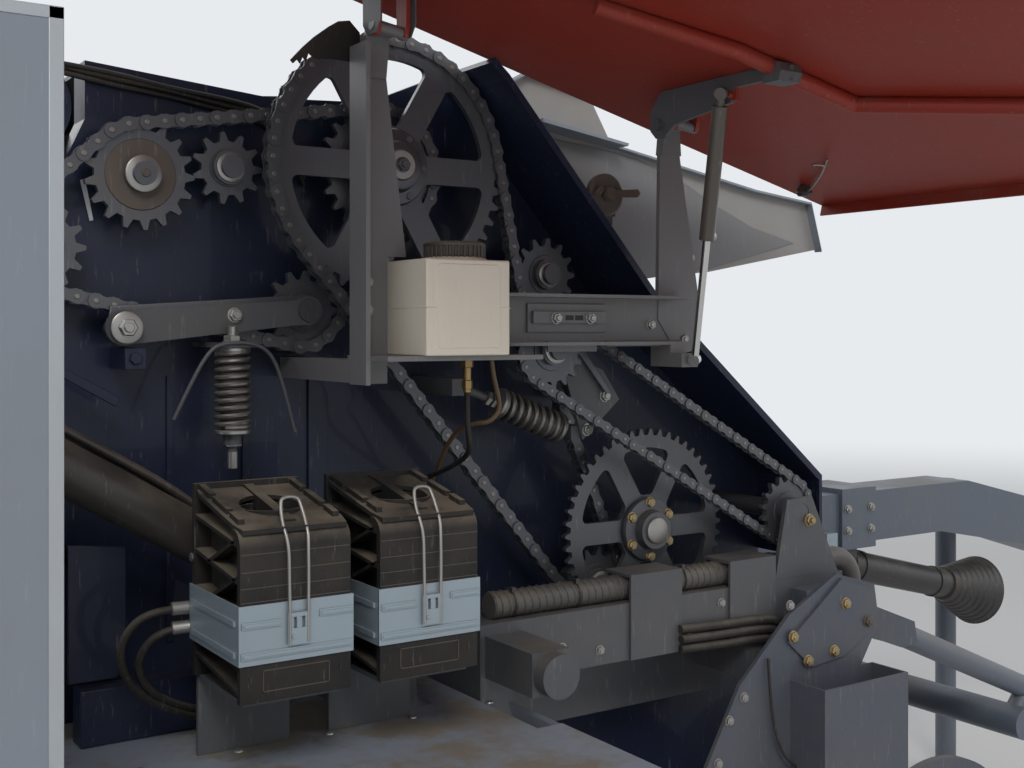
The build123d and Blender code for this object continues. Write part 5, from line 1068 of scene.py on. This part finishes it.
class BALER_OT_bay_plates(Operator):
    """Add the latch plate, brake disc, wall stiffeners and small brackets of the chain bay"""

    bl_idname = "baler.bay_plates"
    bl_label = "Bay plates"

    def execute(self, context):
        plates = Shape()
        plates.box(-3400, -3222, -1013, -1008, 1676, 1728)
        plates.box(-3392, -3226, -1020, -1013, 1692, 1714)
        plates.box(-3356, -3244, -1014, -1009, 1640, 1660)
        plates.rod((-3236, -1030, 1655), (-3052, -1030, 1655), 6, 12)
        plates.make("latch_plate", "post_paint", bevel=1.5, slot="painted_frame")
        slots = Shape()
        for x in (-3312, -3290):
            slots.box(x - 9, x + 9, -1020.6, -1018, 1698, 1707)
        slots.box(-2992, -2966, -704.8, -703, 1911, 1937)
        slots.box(-2963, -2958, -704.8, -703, 1930, 1985)
        slots.make("plate_slots", "hose_rubber", slot="dark_plastic")
        shaft = Shape().rod((-3122, -700, 1952), (-3122, -884, 1952), 16)
        shaft.make("net_brake_shaft", "greasy_steel", slot="bare_steel")
        disc = Shape()
        disc.turned((-3122, -870, 1952), (-3122, -888, 1952), ((0, 36), (3, 43), (14, 43), (18, 38)), 36)
        disc.turned((-3122, -888, 1952), (-3122, -904, 1952), ((0, 16), (10, 15), (16, 11)), 20)
        disc.side(((-3118, 1946), (-3052, 1950), (-3046, 1958), (-3052, 1966), (-3118, 1960)), -900, -892)
        disc.rod((-3142, -896, 1962), (-3160, -906, 1950), 6, 12)
        disc.make("net_brake_disc", "rusty_steel", slot="bare_steel")
        ledge = Shape()
        ledge.box(-4150, -3905, -868, -821, 1022, 1110)
        ledge.side(((-4164, 1120), (-4090, 1120), (-4074, 1140), (-4074, 1330), (-4164, 1340)), -850, -842)
        ledge.side(((-4160, 1606), (-4152, 1618), (-4060, 1566), (-4068, 1552)), -772, -764)
        ledge.box(-4058, -4022, -790, -700, 1614, 1650)
        ledge.bolt((-4040, -790, 1632), OUT, 12, False)
        for x0, x1 in ((-3690, -3650), (-3820, -3806), (-3960, -3948)):
            ledge.side(((x0, 1130), (x1, 1130), (x1, 1560), (x0, 1600)), -706, -700)
        ledge.side(((-4150, 1470), (-4144, 1484), (-3990, 1440), (-3996, 1426)), -708, -700)
        ledge.make("bay_brackets", "wall_paint", bevel=1.5, slot="dark_panels")
        gaps = Shape()
        gaps.side(((-4108, 1935), (-4100, 1938), (-4086, 1868), (-4092, 1866)), -701.4, -700)
        gaps.side(((-3890, 2004), (-3882, 2000), (-3872, 1966), (-3878, 1968)), -701.4, -700)
        gaps.make("wall_slits", "daylight_gap", slot="dark_panels")
        inner = Shape()
        inner.side(((-3236, 2098), (-2990, 2076), (-2900, 2062), (-2770, 2024), (-2650, 1968), (-2540, 1924),
                    (-2400, 1893), (-2684, 1821), (-2935, 1786), (-3016, 1788)), -703, -700)
        inner.make("net_cheek", "post_paint", bevel=1, slot="painted_frame")
        lip = Shape()
        for x0, z0, x1, z1 in (
            (-3258, 2189, -3195, 2223), (-3195, 2223, -3032, 2198), (-2963, 2085, -2547, 2014),
            (-2547, 2014, -2360, 1994), (-2360, 1994, -2325, 1879),
        ):
            lip.side(((x0, z0 - 1), (x1, z1 - 1), (x1, z1 - 6), (x0, z0 - 6)), -722, -699)
        lip.side(((-3190, 2118), (-2963, 2084), (-2966, 2078), (-3190, 2110)), -760, -699)
        lip.make("net_cover_lip", "panel_paint", slot="side_panels")
        flap = Shape().side(TORN_FLAP, -987.5, -984.5)
        flap.make("torn_flap", "hose_rubber", slot="dark_plastic")
        # Lighter strips along each side guard's front and top edges: painted highlights where the edges catch
        # the light
        edges = Shape()
        edges.box(-4331, -4314.4, -1441.3, -1438, 1022, 2040)
        edges.box(-5660, -4314.4, -1441.3, -1438, 2026, 2040.4)
        edges.mirrored().make("guard_edge_highlights", "edge_highlight", bevel=0.8, slot="side_panels")
        return {"FINISHED"}


class BALER_OT_rear_parts(Operator):
    """Add the film rolls' cores, and the amber halves of the rear lamps"""

    bl_idname = "baler.rear_parts"
    bl_label = "Rear parts"

    def execute(self, context):
        lens = Shape()
        lens.box(-5747.6, -5744, -1432, -1352, 806, 924)
        for y in (-1346, -1268):
            lens.box(-5748.2, -5744, y - 1.5, y + 1.5, 804, 926)
        lens.mirrored().make("lamp_lenses", "lamp_amber", bevel=1, slot="red_sheet")
        for side, body in ((1, "film_left"), (-1, "film_right")):
            y = side * 1070
            core = Shape()
            core.turned((-6942.5, y, 1400), (-6939, y, 1400), ((0, 28), (0, 38), (3.5, 38)), 32)
            core.make(body.replace("film", "film_core"), "card", body, slot="film")
        return {"FINISHED"}


class BALER_OT_hood_parts(Operator):
    """Add the right hood's strut bracket, hinge plates, latch knob and hook wire"""

    bl_idname = "baler.hood_parts"
    bl_label = "Hood parts"

    def execute(self, context):
        bracket = Shape()
        arm = (
            (-1028, 2096), (-1028, 2060), (-1044, 2044), (-1070, 2044), (-1096, 2064), (-1232, 2080),
            (-1250, 2082), (-1256, 2107), (-1350, 2107), (-1356, 2098), (-1390, 2098), (-1392, 2124),
            (-1300, 2131), (-1060, 2131),
        )
        head = ((-1350, 2096), (-1388, 2096), (-1394, 2112), (-1386, 2128), (-1350, 2128))
        hinge = ((-1066, 2163), (-1034, 2163), (-1018, 2183), (-1018, 2259), (-1082, 2259), (-1082, 2183))
        bracket.cross(arm, -3127, -3118)
        bracket.cross(head, -3150, -3100)
        bracket.bolt((-3127, -1052, 2070), (-1, 0, 0), 11, True, 3)
        for x in (-3733, -3669):
            bracket.cross(hinge, x, x + 2)
        bracket.make("hood_bracket", "frame_paint", "hood_right", bevel=2, slot="painted_frame")
        knob = Shape()
        knob.turned((-2604, -928, 2002), (-2604, -928, 1976), ((0, 8), (8, 15), (20, 18), (26, 13)), 20)
        knob.make("hood_latch_knob", "black_plastic", "hood_right", slot="dark_plastic")
        strand("hood_hook", "bright_zinc", 5, [
            [(-2604, -930, 1986), (-2612, -950, 1984), (-2630, -985, 1998), (-2690, -1060, 2008),
             (-2738, -1112, 2016), (-2752, -1130, 2024)],
            [(-2732, -1106, 2014), (-2760, -1112, 2016), (-2776, -1112, 2012)],
        ], "hood_right", slot="bare_steel")
        return {"FINISHED"}


# Wheels


TYRE_RADIUS = 475
# The CAD tyre's round is drawn in this many flats; tread and walls stay inside them
CAD_FLATS = 32
TREAD_BLOCKS = 34
# Rows of blocks over the tyre's width: from, to, and how far their ends are skewed
TREAD_ROWS = (
    (-202, -128, 0.035), (-114, -42, 0.035), (-32, 32, 0), (42, 114, -0.035), (128, 202, -0.035),
)
BLOCK_FACES = [[0, 1, 2, 3], [4, 5, 6, 7], [0, 1, 5, 4], [1, 2, 6, 5], [2, 3, 7, 6], [3, 0, 4, 7]]


def tyre_mesh(x, y, tread):
    """Carcass and blocks of one wide tyre, inside the CAD tyre's outline."""
    carcass, blocks = Shape(), Shape()
    sides = 72
    top = TYRE_RADIUS * math.cos(math.pi / CAD_FLATS) - 0.6
    base = top - tread
    profile = (
        (-178, 214.5), (-206, 222), (-222, 246), (-234, 290), (-237, 340), (-231, 386),
        (-214, 420), (-188, base - 12), (-160, base - 3), (-80, base),
    )
    rings = list(profile) + [(0, base)] + [(-w, r) for w, r in profile[::-1]]
    carcass.loft([
        [(x + r * math.cos(t), y + w, TYRE_RADIUS + r * math.sin(t)) for t in circle(sides)] for w, r in rings
    ], closed=True)
    half = math.pi / TREAD_BLOCKS * 0.74
    for i in range(TREAD_BLOCKS):
        for row, (w0, w1, skew) in enumerate(TREAD_ROWS):
            mid = 2 * math.pi * (i + (0.5 if row % 2 else 0)) / TREAD_BLOCKS
            verts = []
            for r in (base - 16, top):
                for w, turn in ((w0, -half + skew), (w1, -half - skew), (w1, half - skew), (w0, half + skew)):
                    radius = r - (22 if abs(w) > 150 else 0)
                    t = mid + turn
                    verts.append((x + radius * math.cos(t), y + w, TYRE_RADIUS + radius * math.sin(t)))
            blocks.add(verts, BLOCK_FACES)
    for sign in (-1, 1):
        for radius, out in ((300, 236.6), (352, 237.6)):
            carcass.hoop((x, y + sign * (out - 3), TYRE_RADIUS), (x, y + sign * out, TYRE_RADIUS),
                         ((0, radius - 3), (0, radius + 3), (3, radius + 1.5), (3, radius - 1.5)), sides)
    return carcass, blocks


class BALER_OT_shaft_guard(Operator):
    """Mould the drive shaft's guard with its ribbed bell and the perforated stand beside it"""

    bl_idname = "baler.shaft_guard"
    bl_label = "Shaft guard"

    def execute(self, context):
        front, rear = Vector((-741, 0, 731)), Vector((-1480, 0, 910))
        bell = Shape()
        for step in range(8):
            along = 6 + 23 * step
            radius = 120 - 62 * along / 190
            rib = ((along - 6, radius - 4), (along, radius + 4), (along + 6, radius - 4))
            bell.hoop(front, rear, rib, 40)
        for along in (240, 640, 690):
            bell.hoop(front, rear, ((along, 48), (along, 54), (along + 18, 54), (along + 18, 48)))
        bell.make("shaft_bell_ribs", "black_plastic", slot="dark_plastic")
        bar = Shape()
        bar.side(((-1640, 1010), (-1590, 1010), (-1590, 800), (-1640, 800)), -112, -106)
        bar.side(((-1640, 1010), (-1590, 1010), (-1590, 1030), (-1640, 1030)), -112, -88)
        bar.make("perforated_bar", "galvanised", bevel=1, slot="galvanised")
        holes = Shape()
        for step in range(7):
            z = 985 - 28 * step
            holes.rod((-1615, -113, z), (-1615, -111, z), 7, 14)
        holes.make("bar_holes", "hose_rubber", slot="dark_plastic")
        return {"FINISHED"}


class BALER_OT_tyres(Operator):
    """Mould the four tyres with their tread blocks and walls"""

    bl_idname = "baler.tyres"
    bl_label = "Tyres"

    def execute(self, context):
        tread = context.scene.baler_finish.tread_depth * 1000
        for end, x in (("front", -4060), ("rear", -5130)):
            for side, y in (("left", 1200), ("right", -1200)):
                body = f"wheel_{end}_{side}"
                carcass, blocks = tyre_mesh(x, y, tread)
                piece = carcass.make(f"tyre_body_{end}_{side}", "tyre_rubber", body, slot="tyre_rubber")
                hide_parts(f"tyre_{end}_{side}")
                blocks.make(f"tyre_tread_{end}_{side}", "tyre_rubber", body, bevel=2, slot="tyre_rubber")
                sign = 1 if y > 0 else -1
                nuts = Shape()
                for t in circle(8):
                    nuts.bolt((x + 118 * math.cos(t), y + sign * 36, TYRE_RADIUS + 118 * math.sin(t)),
                              (0, sign, 0), 15, True, 8)
                nuts.turned((x, y + sign * 109, TYRE_RADIUS), (x, y + sign * 134, TYRE_RADIUS),
                            ((0, 58), (6, 62), (18, 60), (25, 44)), 32)
                nuts.make(f"wheel_nuts_{end}_{side}", "bright_zinc", body, slot="rim_paint")
        return {"FINISHED"}


# Stage


BACKDROP = (0.80, 0.83, 0.86, 1)
FLOOR_COLOUR = (0.80, 0.79, 0.77, 1)
FLOOR_REACH = 60
# The floor turns into the backdrop between these distances from the towing eye, in metres
FADE_NEAR, FADE_FAR = 3, 15
SKY_COLOUR, SKY_STRENGTH = (0.90, 0.93, 1, 1), 0.37
# Name, place, aim, width, watts, colour
LAMPS = (
    ("key", (-6.4, -7, 5.8), (-3.3, -0.9, 0.4), 2.6, 215, (1, 0.97, 0.93)),
    ("fill", (-9.5, -4, 3.5), (-3.6, -0.4, 0.4), 5, 60, (1, 1, 1)),
    ("front", (4, -5, 4.5), (-3, 0, 0.3), 5, 105, (1, 1, 1)),
    ("far_side", (-4, 9, 6), (-4, 0, 0.3), 6, 200, (1, 1, 1)),
)
# The camera: place on the drawings, heading in degrees, film width in mm; focal length and shift in widths
CAMERA_PLACE = (-4665, -2880, 1680)
CAMERA_HEADING = -33.4
FILM_WIDTH = 36
FOCAL_WIDTHS, SHIFT_WIDTHS = 1250 / 1024, -54 / 1024


def area_lamp(name, where, aim, size, watts, colour):
    data = bpy.data.lights.new(name, "AREA")
    data.energy, data.size, data.color = watts, size, colour
    lamp = bpy.data.objects.new(name, data)
    lamp.location = where
    lamp.rotation_euler = (Vector(aim) - Vector(where)).to_track_quat("-Z", "Y").to_euler()
    bpy.context.scene.collection.objects.link(lamp)


def seen_directly(tree):
    """1 for what the camera sees, straight or by way of a mirror or glass."""
    path = add_node(tree, "ShaderNodeLightPath").outputs
    direct = calc(tree, "MAXIMUM", path["Is Camera Ray"], path["Is Glossy Ray"])
    return calc(tree, "MAXIMUM", direct, path["Is Transmission Ray"])


def floor_material():
    """Matt paper that turns into the backdrop further off."""
    material = bpy.data.materials.new("floor_paper")
    material.use_nodes = True
    tree = material.node_tree
    shader = tree.nodes["Principled BSDF"]
    wire(tree, shader, "Base Color", FLOOR_COLOUR)
    wire(tree, shader, "Roughness", 0.9)
    coord = add_node(tree, "ShaderNodeTexCoord").outputs["Object"]
    distance = add_node(tree, "ShaderNodeVectorMath", {0: coord}, operation="LENGTH").outputs["Value"]
    glow = add_node(tree, "ShaderNodeEmission", {"Color": BACKDROP})
    factor = times(tree, step_mask(tree, distance, FADE_NEAR, FADE_FAR), seen_directly(tree))
    mixed = mix_shader(tree, factor, shader.outputs[0], glow.outputs[0])
    wire(tree, tree.nodes["Material Output"], "Surface", mixed)
    return material


class BALER_OT_stage(Operator):
    """Set the floor, the soft light, the world and the camera"""

    bl_idname = "baler.stage"
    bl_label = "Stage"

    def execute(self, context):
        scene = context.scene
        floor_z = -EYE_HEIGHT / 1000
        square = ((-1, -1), (1, -1), (1, 1), (-1, 1))
        corners = [(FLOOR_REACH * x, FLOOR_REACH * y, floor_z) for x, y in square]
        mesh = bpy.data.meshes.new("floor")
        mesh.from_pydata(corners, [], [[0, 1, 2, 3]])
        mesh.materials.append(floor_material())
        floor = bpy.data.objects.new("floor", mesh)
        scene.collection.objects.link(floor)
        world = bpy.data.worlds.new("studio")
        scene.world = world
        world.use_nodes = True
        tree = world.node_tree
        sky = tree.nodes["Background"]
        wire(tree, sky, "Color", SKY_COLOUR)
        wire(tree, sky, "Strength", SKY_STRENGTH)
        shown = add_node(tree, "ShaderNodeBackground", {"Color": BACKDROP, "Strength": 1})
        mixed = mix_shader(tree, seen_directly(tree), sky.outputs[0], shown.outputs[0])
        wire(tree, tree.nodes["World Output"], "Surface", mixed)
        for lamp in LAMPS:
            area_lamp(*lamp)
        scene.view_settings.view_transform = "Standard"
        data = bpy.data.cameras.new("camera")
        data.sensor_width = FILM_WIDTH
        data.lens = FILM_WIDTH * FOCAL_WIDTHS
        data.shift_y = SHIFT_WIDTHS
        data.clip_start = 0.02
        camera = bpy.data.objects.new("camera", data)
        camera.location = place(*CAMERA_PLACE)
        camera.rotation_euler = (math.radians(90), 0, math.radians(CAMERA_HEADING))
        scene.collection.objects.link(camera)
        scene.camera = camera
        return {"FINISHED"}


STEPS = (
    BALER_OT_finishes, BALER_OT_chains, BALER_OT_sprocket_parts, BALER_OT_tensioner_parts, BALER_OT_chocks,
    BALER_OT_tank, BALER_OT_hoses, BALER_OT_fasteners, BALER_OT_bay_plates, BALER_OT_rear_parts,
    BALER_OT_hood_parts, BALER_OT_shaft_guard, BALER_OT_tyres, BALER_OT_stage,
)


class BALER_PT_panel(Panel):
    """Lists the steps that dress the machine"""

    bl_label = "Baler wrapper"
    bl_idname = "BALER_PT_panel"
    bl_space_type = "VIEW_3D"
    bl_region_type = "UI"
    bl_category = "Baler"

    def draw(self, context):
        layout = self.layout
        chosen = context.scene.baler_finish
        for name in ("hood_colour", "panel_colour", "tread_depth"):
            layout.prop(chosen, name)
        for step in STEPS:
            layout.operator(step.bl_idname)


CLASSES = (BALER_PG_finish, *STEPS, BALER_PT_panel)


def register():
    for item in CLASSES:
        bpy.utils.register_class(item)
    bpy.types.Scene.baler_finish = PointerProperty(type=BALER_PG_finish)


def unregister():
    del bpy.types.Scene.baler_finish
    for item in reversed(CLASSES):
        bpy.utils.unregister_class(item)


def main():
    register()
    bpy.ops.baler.finishes()
    bpy.ops.baler.chains()
    bpy.ops.baler.sprocket_parts()
    bpy.ops.baler.tensioner_parts()
    bpy.ops.baler.chocks()
    bpy.ops.baler.tank_parts()
    bpy.ops.baler.hoses()
    bpy.ops.baler.fasteners()
    bpy.ops.baler.bay_plates()
    bpy.ops.baler.rear_parts()
    bpy.ops.baler.hood_parts()
    bpy.ops.baler.shaft_guard()
    bpy.ops.baler.tyres()
    bpy.ops.baler.stage()


if __name__ == "__main__":
    main()
